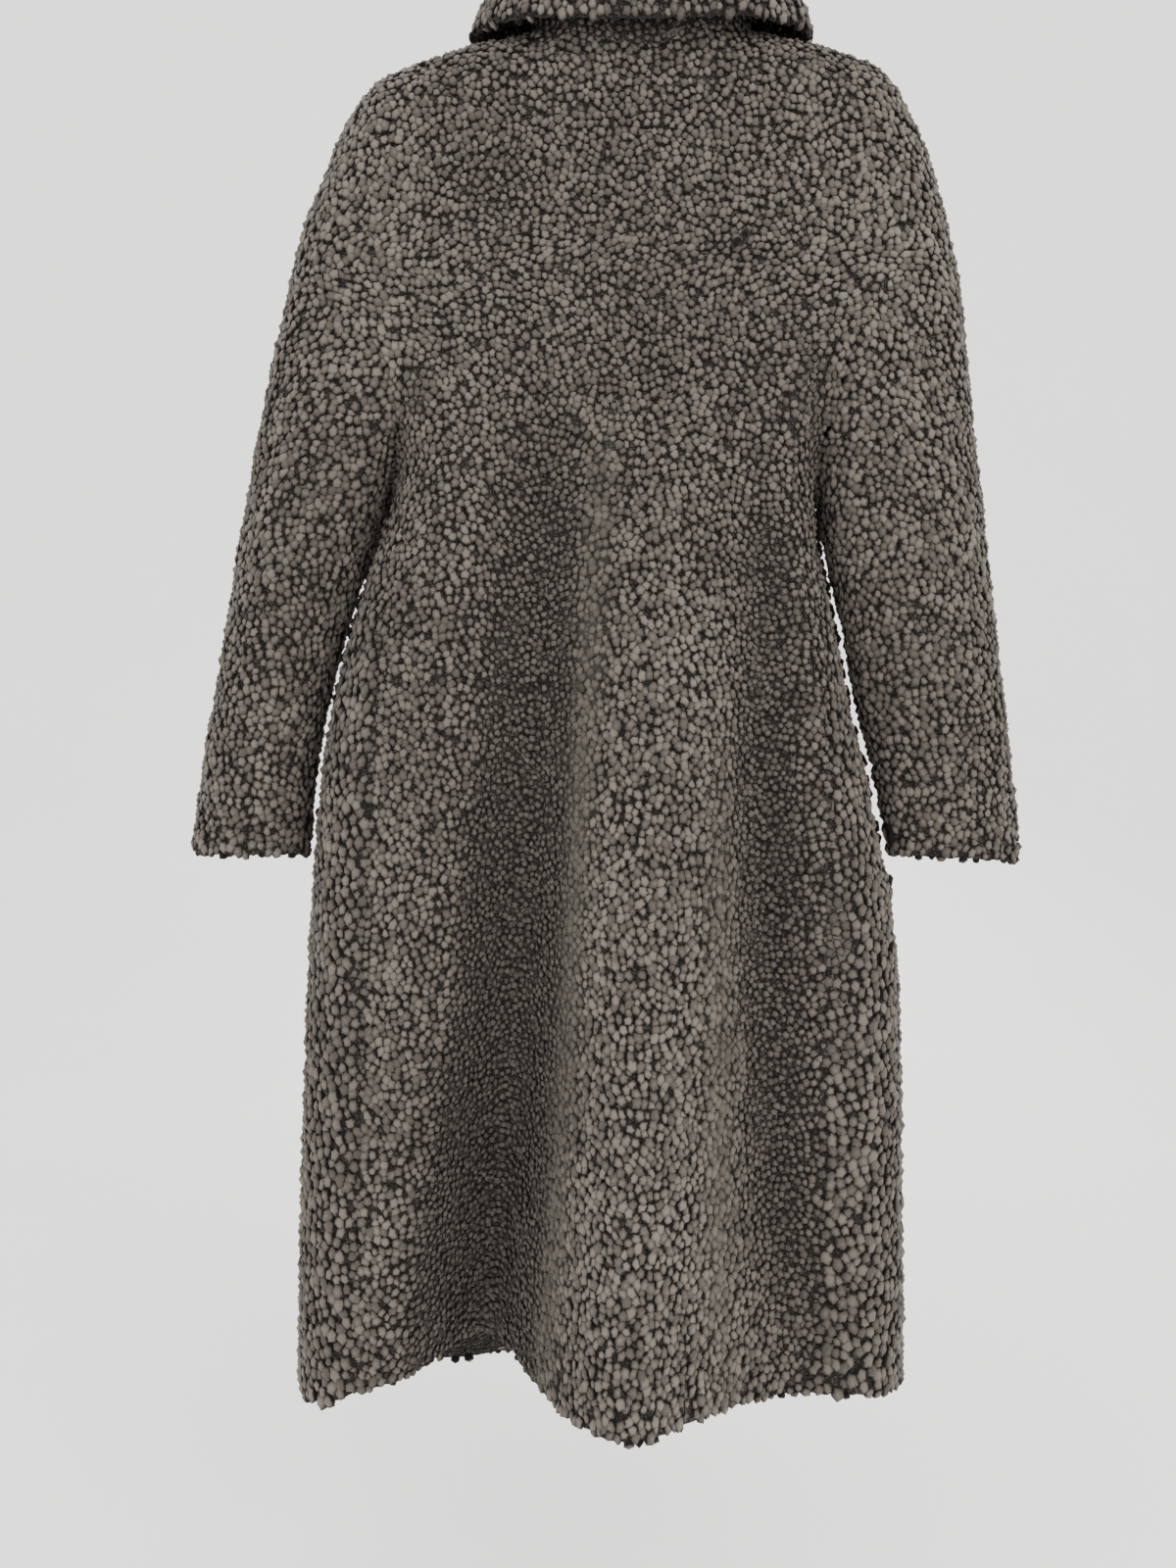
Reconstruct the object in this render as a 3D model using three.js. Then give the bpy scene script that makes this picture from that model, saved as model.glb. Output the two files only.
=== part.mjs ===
// A long coat of curly fleece that hangs by its shoulders on a plain hanger.
// Millimetres, +Z up. The coat's back faces -Y, its front +Y, and the origin is the inner top of
// the hanger's hook. Left and right are as seen from behind the coat, so left is -X.
// The outer face of each wall is the tips of the pile, and the inner face is the plain backing.
import * as THREE from 'three';

const WALL = 8;
const SEAM_GAP = 0.4;
const LAP_CLEARANCE = 1.4;
const THINNEST_MITRE = 0.5;

const UNDERARM_Z = -512;
const HEM_Z = -1293;
const EDGE_ROUND = 60;
const FOLD_FADE = 45;
const OUTLINE_SLACK = 0.4;
const OUTLINE_SHOULDER_STEPS = 70;
const OUTLINE_SIDE_STEPS = 110;

const NECK_HALF_WIDTH = 98;
const NECK_SIDE_Z = -100;
const NECK_TILT = 0.031;
const BACK_NECK_DROP = 36;
const FRONT_NECK_DROP = 95;
const FRONT_LAP = 20;
const LAP_FADE = 60;

// Shoulder line from the neck out to the drop shoulder's notch: x outwards, z.
// Side: height, the body's widest x there, and the x of the seam (armhole, then side seam).
// Sleeve: share of its length, outer line, inner line, half depth, middle of its depth.
const LEFT = {
  sign: -1,
  shoulder: [
    { x: 98, z: -103 }, { x: 158, z: -119 }, { x: 227, z: -147 }, { x: 245, z: -159 },
    { x: 261, z: -180 }, { x: 277, z: -214 }, { x: 290, z: -250 }, { x: 304, z: -288 },
    { x: 316, z: -343 },
  ],
  side: [
    { z: -343, side: 316, seam: 316 }, { z: -355, side: 317, seam: 298 },
    { z: -368, side: 314, seam: 272 }, { z: -386, side: 300, seam: 243 },
    { z: -420, side: 266, seam: 219 }, { z: -462, side: 233, seam: 208 },
    { z: -496, side: 217, seam: 209 }, { z: UNDERARM_Z, side: 213.5, seam: 213.5 },
    { z: -551, side: 222, seam: 214.5 }, { z: -610, side: 238, seam: 215 },
    { z: -679, side: 256, seam: 215 }, { z: -758, side: 270, seam: 215 },
    { z: -830, side: 275.5, seam: 215 }, { z: -970, side: 280, seam: 215 },
    { z: -1150, side: 281, seam: 215 }, { z: -1340, side: 278, seam: 215 },
  ],
  sleeve: [
    { t: 0, outX: 316, outZ: -343, inX: 213.5, inZ: UNDERARM_Z, depth: 62, y: 0 },
    { t: 0.2, outX: 333, outZ: -444, inX: 234, inZ: -577, depth: 66, y: -4 },
    { t: 0.4, outX: 347, outZ: -546, inX: 251.5, inZ: -642, depth: 64, y: -6 },
    { t: 0.6, outX: 362, outZ: -647, inX: 267, inZ: -708, depth: 58, y: -6 },
    { t: 0.8, outX: 377, outZ: -749, inX: 277, inZ: -773, depth: 50, y: -6 },
    { t: 1, outX: 390, outZ: -852, inX: 281, inZ: -852, depth: 44, y: -6 },
  ],
};
const RIGHT = {
  sign: 1,
  shoulder: [
    { x: 98, z: -97 }, { x: 158, z: -108 }, { x: 209, z: -125 }, { x: 222, z: -133 },
    { x: 236, z: -150 }, { x: 253, z: -181 }, { x: 266, z: -208 }, { x: 280, z: -254 },
    { x: 295, z: -310 },
  ],
  side: [
    { z: -310, side: 295, seam: 295 }, { z: -322, side: 298, seam: 270 },
    { z: -334, side: 296, seam: 238 }, { z: -352, side: 284, seam: 214 },
    { z: -390, side: 247, seam: 193 }, { z: -448, side: 201, seam: 176 },
    { z: -490, side: 177, seam: 170 }, { z: UNDERARM_Z, side: 171, seam: 171 },
    { z: -558, side: 173.5, seam: 172 }, { z: -605, side: 184, seam: 173 },
    { z: -652, side: 194, seam: 174 }, { z: -704, side: 205, seam: 175 },
    { z: -768, side: 223, seam: 176 }, { z: -835, side: 237, seam: 176 },
    { z: -870, side: 247, seam: 176 }, { z: -991, side: 259, seam: 176 },
    { z: -1135, side: 265, seam: 176 }, { z: -1340, side: 270, seam: 176 },
  ],
  sleeve: [
    { t: 0, outX: 295, outZ: -310, inX: 171, inZ: UNDERARM_Z, depth: 62, y: 0 },
    { t: 0.2, outX: 307, outZ: -414, inX: 182, inZ: -576, depth: 57, y: -7 },
    { t: 0.4, outX: 320, outZ: -519, inX: 196.5, inZ: -640, depth: 53, y: -11 },
    { t: 0.6, outX: 334, outZ: -625, inX: 209.5, inZ: -704, depth: 48, y: -12 },
    { t: 0.8, outX: 350, outZ: -730, inX: 228, inZ: -768, depth: 43, y: -12 },
    { t: 1, outX: 364, outZ: -838, inX: 241.5, inZ: -838, depth: 38, y: -12 },
  ],
};

// How far the flat of the back and of the front stand off the middle, by height.
const DEPTHS = [
  { z: -100, back: 58, front: 48 }, { z: -340, back: 66, front: 58 },
  { z: -600, back: 74, front: 64 }, { z: -900, back: 80, front: 72 },
  { z: -1340, back: 86, front: 84 },
];

// Long folds: at each height the fold's middle, how far it goes in (+Y), and its reach each way.
const BACK_FOLDS = {
  sideRidge: [
    { z: -430, x: -128, depth: 0, left: 45, right: 40 },
    { z: -617, x: -134, depth: -10, left: 45, right: 40 },
    { z: -990, x: -142, depth: -13, left: 48, right: 36 },
    { z: -1160, x: -168, depth: -9, left: 45, right: 36 },
    { z: -1340, x: -178, depth: -3, left: 40, right: 34 },
  ],
  deepValley: [
    { z: -410, x: -76, depth: 0, left: 50, right: 40 },
    { z: -617, x: -80, depth: 22, left: 48, right: 36 },
    { z: -780, x: -84, depth: 38, left: 46, right: 36 },
    { z: -990, x: -91, depth: 60, left: 45, right: 36 },
    { z: -1340, x: -113, depth: 98, left: 45, right: 38 },
  ],
  middleRidge: [
    { z: -410, x: 22, depth: 0, left: 60, right: 80 },
    { z: -617, x: 20, depth: -13, left: 55, right: 70 },
    { z: -866, x: 18, depth: -30, left: 52, right: 72 },
    { z: -1100, x: 14, depth: -52, left: 54, right: 78 },
    { z: -1340, x: 10, depth: -84, left: 60, right: 86 },
  ],
  thinValley: [
    { z: -450, x: 112, depth: 0, left: 30, right: 30 },
    { z: -617, x: 116, depth: 15, left: 28, right: 30 },
    { z: -866, x: 121, depth: 22, left: 26, right: 30 },
    { z: -1120, x: 136, depth: 20, left: 26, right: 32 },
    { z: -1280, x: 150, depth: 3, left: 30, right: 34 },
  ],
};
const FRONT_FOLDS = {
  leftTrough: [
    { z: -430, x: -120, depth: 0, left: 40, right: 40 },
    { z: -800, x: -135, depth: -14, left: 44, right: 38 },
    { z: -1340, x: -150, depth: -26, left: 50, right: 40 },
  ],
  leftSwell: [
    { z: -560, x: -214, depth: 0, left: 34, right: 36 },
    { z: -900, x: -222, depth: 7, left: 32, right: 38 },
    { z: -1340, x: -226, depth: 12, left: 30, right: 40 },
  ],
  rightTrough: [
    { z: -470, x: 104, depth: 0, left: 36, right: 44 },
    { z: -840, x: 118, depth: -13, left: 36, right: 44 },
    { z: -1340, x: 140, depth: -22, left: 40, right: 48 },
  ],
};

// Height of the hem along the back and along the front.
const BACK_HEM = [
  { x: -282, z: -1327 }, { x: -241, z: -1313 }, { x: -200, z: -1297 }, { x: -165, z: HEM_Z },
  { x: 225, z: -1291 }, { x: 256, z: -1299 }, { x: 271, z: -1306 },
];
const FRONT_HEM = [
  { x: -282, z: -1327 }, { x: -190, z: -1335 }, { x: -60, z: -1338 }, { x: 60, z: -1336 },
  { x: 190, z: -1322 }, { x: 271, z: -1306 },
];

// Collar by its turn round the neck, 0 at the middle of the back and 180 at the front.
// Stand is the height to the fold, and x, y, z is the outer edge of the fall.
const COLLAR = [
  { turn: 0, stand: 40, x: 0, y: -84, z: -128 },
  { turn: 32, stand: 40, x: 66, y: -82, z: -125 },
  { turn: 62, stand: 40, x: 126, y: -62, z: -116 },
  { turn: 90, stand: 38, x: 158, y: -6, z: -101 },
  { turn: 116, stand: 36, x: 152, y: 54, z: -136 },
  { turn: 142, stand: 28, x: 122, y: 82, z: -190 },
  { turn: 162, stand: 19, x: 92, y: 90, z: -236 },
  { turn: 178, stand: 10, x: 58, y: 93, z: -266 },
];
const COLLAR_END_X = 7;
const COLLAR_FOLD_RADIUS = 10.5;
const COLLAR_BULGE = 13;
const COLLAR_SQUARENESS = 0.8;
const STAND_FOOT = 3;
const STAND_STEPS = 2;
const FOLD_STEPS = 4;
const FALL_STEPS = 4;

// Steps down a panel from its top edge to the underarm, as shares of the way.
const UPPER_STEPS = [0, 0.02, 0.07, 0.15, 0.27, 0.42, 0.58, 0.74, 0.88, 1];
const LOWER_STEPS = 13;
const SHOULDER_COLUMNS = { left: 10, right: 9, crowding: 1.25 };
const BACK_NECK_COLUMNS = 12;
const FRONT_NECK_COLUMNS = 6;
const SLEEVE_RINGS = 13;
const SLEEVE_CAP_SHARE = 0.38;

const HANGER_HALF_LENGTH = 222;
const HANGER_THICKNESS = 14;
const HANGER_MIDDLE_HEIGHT = 30;
const HANGER_TIP_HEIGHT = 17;
const HANGER_MIDDLE_Z = -103;
const HANGER_NECK_Z = -110.5;
const HANGER_NECK_HALF = 60;
const HANGER_STEPS = 28;
const HANGER_TIP_STEEPNESS = 16;
const HANGER_TIP_BLUNT = 0.08;
const HANGER_TIP_NARROW = 0.5;
// Section of the hanger's bar: share of its half thickness aside, and share of its height down.
const HANGER_SECTION = [
  { aside: 0, down: 0 }, { aside: 0.6, down: 0.07 }, { aside: 1, down: 0.25 },
  { aside: 1, down: 0.8 }, { aside: 0.6, down: 1 }, { aside: -0.6, down: 1 },
  { aside: -1, down: 0.8 }, { aside: -1, down: 0.25 }, { aside: -0.6, down: 0.07 },
];
const CLOTH_REST = 0.8;
const SLOPE_STEP = 12;
const HOOK_WIRE = 4;
const HOOK_INNER_RADIUS = 20;
const HOOK_SHANK_TURN_Z = -52;
const HOOK_SEAT = 0.3;
const HOOK_STEPS = 40;
const HOOK_SIDES = 4;
// Turns round the hook's middle, in degrees, from the shank's side to the open tip.
const HOOK_TURNS = [-50, -20, 10, 40, 70, 100, 130, 160, 190, 210];

const fleece = { color: 0x645d57, roughness: 0.95, metalness: 0 };
const wood = { color: 0xa9794b, roughness: 0.55, metalness: 0 };
const steel = { color: 0xb8bbbe, roughness: 0.3, metalness: 1 };

// Small helpers for numbers
const clamp01 = (value) => Math.min(1, Math.max(0, value));
const mix = (a, b, share) => a + (b - a) * share;
const smooth = (value) => {
  const share = clamp01(value);
  return share * share * (3 - 2 * share);
};
const quarterRound = (share) => Math.sqrt(1 - (1 - clamp01(share)) ** 2);

// A value between the rows of a table, on a curve that never overshoots its rows.
function between(rows, along, at, column) {
  const ascending = rows[0][along] < rows[rows.length - 1][along];
  const sorted = ascending ? rows : [...rows].reverse();
  const last = sorted.length - 1;
  if (at <= sorted[0][along]) return sorted[0][column];
  if (at >= sorted[last][along]) return sorted[last][column];
  let i = 0;
  while (at > sorted[i + 1][along]) i += 1;
  const step = (k) => sorted[k + 1][along] - sorted[k][along];
  const slope = (k) => (sorted[k + 1][column] - sorted[k][column]) / step(k);
  const tangent = (k) => {
    if (k === 0) return slope(0);
    if (k === last) return slope(last - 1);
    const before = slope(k - 1);
    const after = slope(k);
    return before * after <= 0 ? 0 : (2 * before * after) / (before + after);
  };
  const h = step(i);
  const s = (at - sorted[i][along]) / h;
  const start = (1 + 2 * s) * (1 - s) ** 2 * sorted[i][column] + s * (1 - s) ** 2 * h * tangent(i);
  const end = s * s * (3 - 2 * s) * sorted[i + 1][column] + s * s * (s - 1) * h * tangent(i + 1);
  return start + end;
}

// The coat's outline seen from behind, one half at a time, as short straight steps.
function halfOutline(half) {
  const points = [];
  const { shoulder, side } = half;
  const notch = shoulder[shoulder.length - 1];
  const lowest = side[side.length - 1].z;
  for (let i = 0; i < OUTLINE_SHOULDER_STEPS; i += 1) {
    const x = mix(shoulder[0].x, notch.x, i / OUTLINE_SHOULDER_STEPS);
    points.push([x, between(shoulder, 'x', x, 'z')]);
  }
  for (let i = 0; i <= OUTLINE_SIDE_STEPS; i += 1) {
    const z = mix(notch.z, lowest - EDGE_ROUND, i / OUTLINE_SIDE_STEPS);
    points.push([between(side, 'z', z, 'side'), z]);
  }
  return points;
}
LEFT.outline = halfOutline(LEFT);
RIGHT.outline = halfOutline(RIGHT);

function distanceToOutline(half, x, z) {
  let nearest = Infinity;
  for (let i = 1; i < half.outline.length; i += 1) {
    const [ax, az] = half.outline[i - 1];
    const [bx, bz] = half.outline[i];
    const length2 = (bx - ax) ** 2 + (bz - az) ** 2;
    const share = clamp01(((x - ax) * (bx - ax) + (z - az) * (bz - az)) / length2);
    nearest = Math.min(nearest, Math.hypot(x - mix(ax, bx, share), z - mix(az, bz, share)));
  }
  return Math.max(0, nearest - OUTLINE_SLACK);
}

const halfAt = (x) => (x < 0 ? LEFT : RIGHT);

function foldAt(folds, x, z) {
  let sum = 0;
  for (const rows of Object.values(folds)) {
    const away = x - between(rows, 'z', z, 'x');
    const reach = between(rows, 'z', z, away < 0 ? 'left' : 'right');
    sum += between(rows, 'z', z, 'depth') * Math.exp(-((away / reach) ** 2));
  }
  return sum;
}

// Depth of the back's and the front's outer face at a place of the outline.
function backY(x, z) {
  const inwards = distanceToOutline(halfAt(x), Math.abs(x), z);
  const flat = -between(DEPTHS, 'z', z, 'back') * quarterRound(inwards / EDGE_ROUND);
  return flat + foldAt(BACK_FOLDS, x, z) * smooth(inwards / FOLD_FADE);
}
function frontY(x, z) {
  const inwards = distanceToOutline(halfAt(x), Math.abs(x), z);
  const flat = between(DEPTHS, 'z', z, 'front') * quarterRound(inwards / EDGE_ROUND);
  return flat + foldAt(FRONT_FOLDS, x, z) * smooth(inwards / FOLD_FADE);
}
// The left front dips under the right one where they overlap.
const underLap = (x) => (WALL + LAP_CLEARANCE) * smooth((x + FRONT_LAP + LAP_FADE) / LAP_FADE);

// Height of a panel's top edge: the neckline in the middle, the shoulder line outside it.
function topEdgeZ(x, neckDrop) {
  const out = Math.abs(x);
  if (out >= NECK_HALF_WIDTH) return between(halfAt(x).shoulder, 'x', out, 'z');
  const rise = (out / NECK_HALF_WIDTH) ** 2;
  return NECK_SIDE_Z + NECK_TILT * x - neckDrop * (1 - rise);
}

// Distance along a rounded edge turned into distance in x, and back.
const ROUND_GIRTH = (EDGE_ROUND * Math.PI) / 2;
const inFromGirth = (girth) =>
  girth < ROUND_GIRTH
    ? EDGE_ROUND * (1 - Math.cos(girth / EDGE_ROUND))
    : EDGE_ROUND + girth - ROUND_GIRTH;
const girthFromIn = (inwards) =>
  inwards < EDGE_ROUND
    ? EDGE_ROUND * Math.acos(1 - inwards / EDGE_ROUND)
    : ROUND_GIRTH + inwards - EDGE_ROUND;

// Rows of heights shared by all body panels: the same shares down each column.
function columnHeights(topZ, hemZ) {
  const upper = UPPER_STEPS.map((share) => mix(topZ, UNDERARM_Z, share));
  const lower = [];
  for (let i = 1; i <= LOWER_STEPS; i += 1) lower.push(mix(UNDERARM_Z, hemZ, i / LOWER_STEPS));
  return [...upper, ...lower];
}

// The shoulder's columns as x at the top edge, from the notch to the neck, both panels' own.
function shoulderColumns(half, count) {
  const notchX = half.shoulder[half.shoulder.length - 1].x;
  const columns = [];
  for (let i = 0; i <= count; i += 1) {
    columns.push(mix(notchX, NECK_HALF_WIDTH, (i / count) ** SHOULDER_COLUMNS.crowding));
  }
  return columns;
}
const LEFT_COLUMNS = shoulderColumns(LEFT, SHOULDER_COLUMNS.left);
const RIGHT_COLUMNS = shoulderColumns(RIGHT, SHOULDER_COLUMNS.right);

function neckColumns(fromX, toX, count) {
  const columns = [];
  for (let i = 1; i < count; i += 1) {
    const from = Math.asin(fromX / NECK_HALF_WIDTH);
    const to = Math.asin(toX / NECK_HALF_WIDTH);
    columns.push(NECK_HALF_WIDTH * Math.sin(mix(from, to, i / count)));
  }
  return columns;
}

const seamX = (half, z) => between(half.side, 'z', z, 'seam');

// Outer face of the back, column by column from left to right.
function backGrid() {
  const neck = neckColumns(-NECK_HALF_WIDTH, NECK_HALF_WIDTH, BACK_NECK_COLUMNS);
  const topX = [
    ...LEFT_COLUMNS.map((x) => -x),
    ...neck,
    ...[...RIGHT_COLUMNS].reverse(),
  ];
  const leftNotch = -LEFT_COLUMNS[0];
  const rightNotch = RIGHT_COLUMNS[0];
  return topX.map((x0) => {
    const share = (x0 - leftNotch) / (rightNotch - leftNotch);
    const place = (z) => mix(-seamX(LEFT, z), seamX(RIGHT, z), share);
    const hemZ = between(BACK_HEM, 'x', place(HEM_Z), 'z');
    return columnHeights(topEdgeZ(x0, BACK_NECK_DROP), hemZ).map((z) => {
      const x = place(z);
      return new THREE.Vector3(x, backY(x, z), z);
    });
  });
}

// Outer face of a front, from its side seam round the side to its edge past the middle.
function frontGrid(half, shoulderX, isUnder) {
  const { sign } = half;
  const neck = neckColumns(NECK_HALF_WIDTH, -FRONT_LAP, FRONT_NECK_COLUMNS);
  const outX = [...shoulderX, ...neck, -FRONT_LAP];
  const notchX = shoulderX[0];
  const hemSide = between(half.side, 'z', HEM_Z, 'side');
  const pointAt = (share, z) => {
    const side = between(half.side, 'z', z, 'side');
    const seam = seamX(half, z);
    const roundShare = smooth((notchShoulderZ(half) - z) / (notchShoulderZ(half) - UNDERARM_Z));
    if (z > UNDERARM_Z) {
      const linear = mix(seam, -FRONT_LAP, share);
      const girth = girthFromIn(seam + FRONT_LAP) * share;
      const rounded = seam - inFromGirth(girth);
      const x = sign * mix(linear, rounded, roundShare);
      return new THREE.Vector3(x, frontY(x, z), z);
    }
    const behind = girthFromIn(side - seam);
    const ahead = girthFromIn(side + FRONT_LAP);
    const girth = mix(-behind, ahead, share);
    const x = sign * (side - inFromGirth(Math.abs(girth)));
    return new THREE.Vector3(x, girth < 0 ? backY(x, z) : frontY(x, z), z);
  };
  const hemAt = (share) => {
    const behind = girthFromIn(hemSide - seamX(half, HEM_Z));
    const ahead = girthFromIn(hemSide + FRONT_LAP);
    const girth = mix(-behind, ahead, share);
    const x = sign * (hemSide - inFromGirth(Math.abs(girth)));
    return between(girth < 0 ? BACK_HEM : FRONT_HEM, 'x', x, 'z');
  };
  return outX.map((x0) => {
    const share = (notchX - x0) / (notchX + FRONT_LAP);
    const topZ = topEdgeZ(sign * x0, FRONT_NECK_DROP);
    return columnHeights(topZ, hemAt(share)).map((z) => {
      const point = pointAt(share, z);
      if (isUnder) point.y -= underLap(point.x);
      return point;
    });
  });
}
function notchShoulderZ(half) {
  return half.shoulder[half.shoulder.length - 1].z;
}

// The armhole as a ring that starts at the notch, goes down the back and up the front.
function armholeRing(half) {
  const down = UPPER_STEPS.map((share) => mix(notchShoulderZ(half), UNDERARM_Z, share));
  const place = (z, depthAt) => {
    const x = half.sign * seamX(half, z);
    return new THREE.Vector3(x, depthAt(x, z), z);
  };
  const back = down.map((z) => place(z, backY));
  const front = down.map((z) => place(z, frontY)).reverse();
  return { back, front };
}

function ringAngles(points, from, to) {
  let total = 0;
  const run = points.map((point, i) => {
    if (i > 0) total += point.distanceTo(points[i - 1]);
    return total;
  });
  return run.map((length) => mix(from, to, length / total));
}

// Outer face of a sleeve, column by column round it, each from the armhole down to the cuff.
function sleeveGrid(half) {
  const { back, front } = armholeRing(half);
  const ring = [...back, ...front.slice(1, -1)];
  const angles = [...ringAngles(back, 0, Math.PI), ...ringAngles(front, Math.PI, 2 * Math.PI).slice(1, -1)];
  const tube = (angle, t) => {
    const read = (column) => between(half.sleeve, 't', t, column);
    const outer = new THREE.Vector3(half.sign * read('outX'), read('y'), read('outZ'));
    const inner = new THREE.Vector3(half.sign * read('inX'), read('y'), read('inZ'));
    const point = inner.clone().lerp(outer, 0.5 + 0.5 * Math.cos(angle));
    point.y -= Math.sin(angle) * read('depth');
    return point;
  };
  const grid = ring.map((seam, i) => {
    const off = seam.clone().sub(tube(angles[i], 0));
    const column = [];
    for (let k = 0; k <= SLEEVE_RINGS; k += 1) {
      const t = k / SLEEVE_RINGS;
      column.push(tube(angles[i], t).addScaledVector(off, 1 - smooth(t / SLEEVE_CAP_SHARE)));
    }
    return column;
  });
  return half.sign < 0 ? grid : [grid[0], ...grid.slice(1).reverse()];
}

// Outward normals at each outer point, shared by all panels that meet there.
const pointKey = (point) => [point.x, point.y, point.z].map((v) => Math.round(v * 100) + 0).join();

function sharedNormals(grids) {
  const sums = new Map();
  const add = (point, normal) => {
    const key = pointKey(point);
    if (!sums.has(key)) sums.set(key, { sum: new THREE.Vector3(), weight: 0 });
    const entry = sums.get(key);
    entry.sum.add(normal);
    entry.weight += 1;
  };
  for (const { grid, closed } of grids) {
    const columns = grid.length;
    for (let i = 0; i < (closed ? columns : columns - 1); i += 1) {
      const here = grid[i];
      const next = grid[(i + 1) % columns];
      for (let j = 0; j + 1 < here.length; j += 1) {
        const across = next[j + 1].clone().sub(here[j]);
        const down = here[j + 1].clone().sub(next[j]);
        const normal = down.cross(across).normalize();
        for (const point of [here[j], here[j + 1], next[j], next[j + 1]]) add(point, normal);
      }
    }
  }
  return (point) => {
    const { sum, weight } = sums.get(pointKey(point));
    return sum.clone().divideScalar(weight);
  };
}

// A closed wall between an outer grid and the same grid moved in by the wall's thickness.
function wallGeometry(grid, normalAt, { closed = false, seams = [] } = {}) {
  const columns = grid.length;
  const rows = grid[0].length;
  const outer = grid.map((column) => column.map((point) => point.clone()));
  const inner = grid.map((column, i) => column.map((point, j) => {
    const normal = normalAt(point, i, j);
    const mitre = Math.max(THINNEST_MITRE, normal.length());
    return point.clone().addScaledVector(normal.normalize(), -WALL / mitre);
  }));
  const setBack = (i, j, toI, toJ, alongI, alongJ) => {
    const normal = grid[i][j].clone().sub(inner[i][j]).normalize();
    const from = grid[Math.max(0, i - alongI)][Math.max(0, j - alongJ)];
    const to = grid[Math.min(columns - 1, i + alongI)][Math.min(rows - 1, j + alongJ)];
    const along = to.clone().sub(from);
    along.addScaledVector(normal, -along.dot(normal)).normalize();
    const inwards = grid[toI][toJ].clone().sub(grid[i][j]);
    inwards.addScaledVector(normal, -inwards.dot(normal));
    inwards.addScaledVector(along, -inwards.dot(along)).normalize();
    outer[i][j].addScaledVector(inwards, SEAM_GAP / 2);
    inner[i][j].addScaledVector(inwards, SEAM_GAP / 2);
  };
  for (let j = 0; j < rows; j += 1) {
    if (seams.includes('first')) setBack(0, j, 1, j, 0, 1);
    if (seams.includes('last')) setBack(columns - 1, j, columns - 2, j, 0, 1);
  }
  for (let i = 0; i < columns; i += 1) {
    if (seams.includes('top')) setBack(i, 0, i, 1, 1, 0);
  }
  const positions = [];
  const triangle = (...points) => points.forEach((p) => positions.push(p.x, p.y, p.z));
  const quad = (a, b, c, d) => {
    triangle(a, b, c);
    triangle(a, c, d);
  };
  // A rim's diagonal starts at its lower outer corner, so both sides of a seam share it.
  const rim = (i, j, m, n) => {
    if (grid[i][j].z < grid[m][n].z) {
      quad(outer[i][j], outer[m][n], inner[m][n], inner[i][j]);
    } else {
      quad(outer[m][n], inner[m][n], inner[i][j], outer[i][j]);
    }
  };
  for (let i = 0; i < (closed ? columns : columns - 1); i += 1) {
    const n = (i + 1) % columns;
    for (let j = 0; j + 1 < rows; j += 1) {
      quad(outer[i][j], outer[i][j + 1], outer[n][j + 1], outer[n][j]);
      quad(inner[i][j], inner[n][j], inner[n][j + 1], inner[i][j + 1]);
    }
    rim(i, 0, n, 0);
    rim(n, rows - 1, i, rows - 1);
  }
  if (!closed) {
    const e = columns - 1;
    for (let j = 0; j + 1 < rows; j += 1) {
      rim(0, j + 1, 0, j);
      rim(e, j, e, j + 1);
    }
  }
  const geometry = new THREE.BufferGeometry();
  geometry.setAttribute('position', new THREE.Float32BufferAttribute(positions, 3));
  geometry.computeVertexNormals();
  return geometry;
}

const grids = {
  back: { grid: backGrid() },
  front_left: { grid: frontGrid(LEFT, LEFT_COLUMNS, true).reverse() },
  front_right: { grid: frontGrid(RIGHT, RIGHT_COLUMNS, false) },
  sleeve_left: { grid: sleeveGrid(LEFT), closed: true },
  sleeve_right: { grid: sleeveGrid(RIGHT), closed: true },
};
const bodyNormal = sharedNormals(Object.values(grids));

// The neckline as the body's panels end there, with the collar's turn at each point.
function necklineSamples() {
  const { back, front_left: left, front_right: right } = grids;
  const onNeck = (column) => Math.abs(column[0].x) < NECK_HALF_WIDTH - 0.01;
  const behind = back.grid.filter((column) => Math.abs(column[0].x) < NECK_HALF_WIDTH + 0.01);
  const ahead = [right, left].map(({ grid }) =>
    grid.filter((column) => onNeck(column) && Math.abs(column[0].x) > COLLAR_END_X));
  const withTurn = (columns, isFront) => columns.map((column) => {
    const aside = Math.asin(Math.min(1, Math.abs(column[0].x) / NECK_HALF_WIDTH));
    const turn = THREE.MathUtils.radToDeg(isFront ? Math.PI - aside : aside);
    return { point: column[0], turn, sign: Math.sign(column[0].x) || 1 };
  });
  const rightFront = withTurn(ahead[0].filter((column) => column[0].x > 0), true);
  const leftFront = withTurn(ahead[1].filter((column) => column[0].x < 0), true);
  return [...leftFront, ...withTurn(behind, false), ...rightFront];
}

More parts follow.
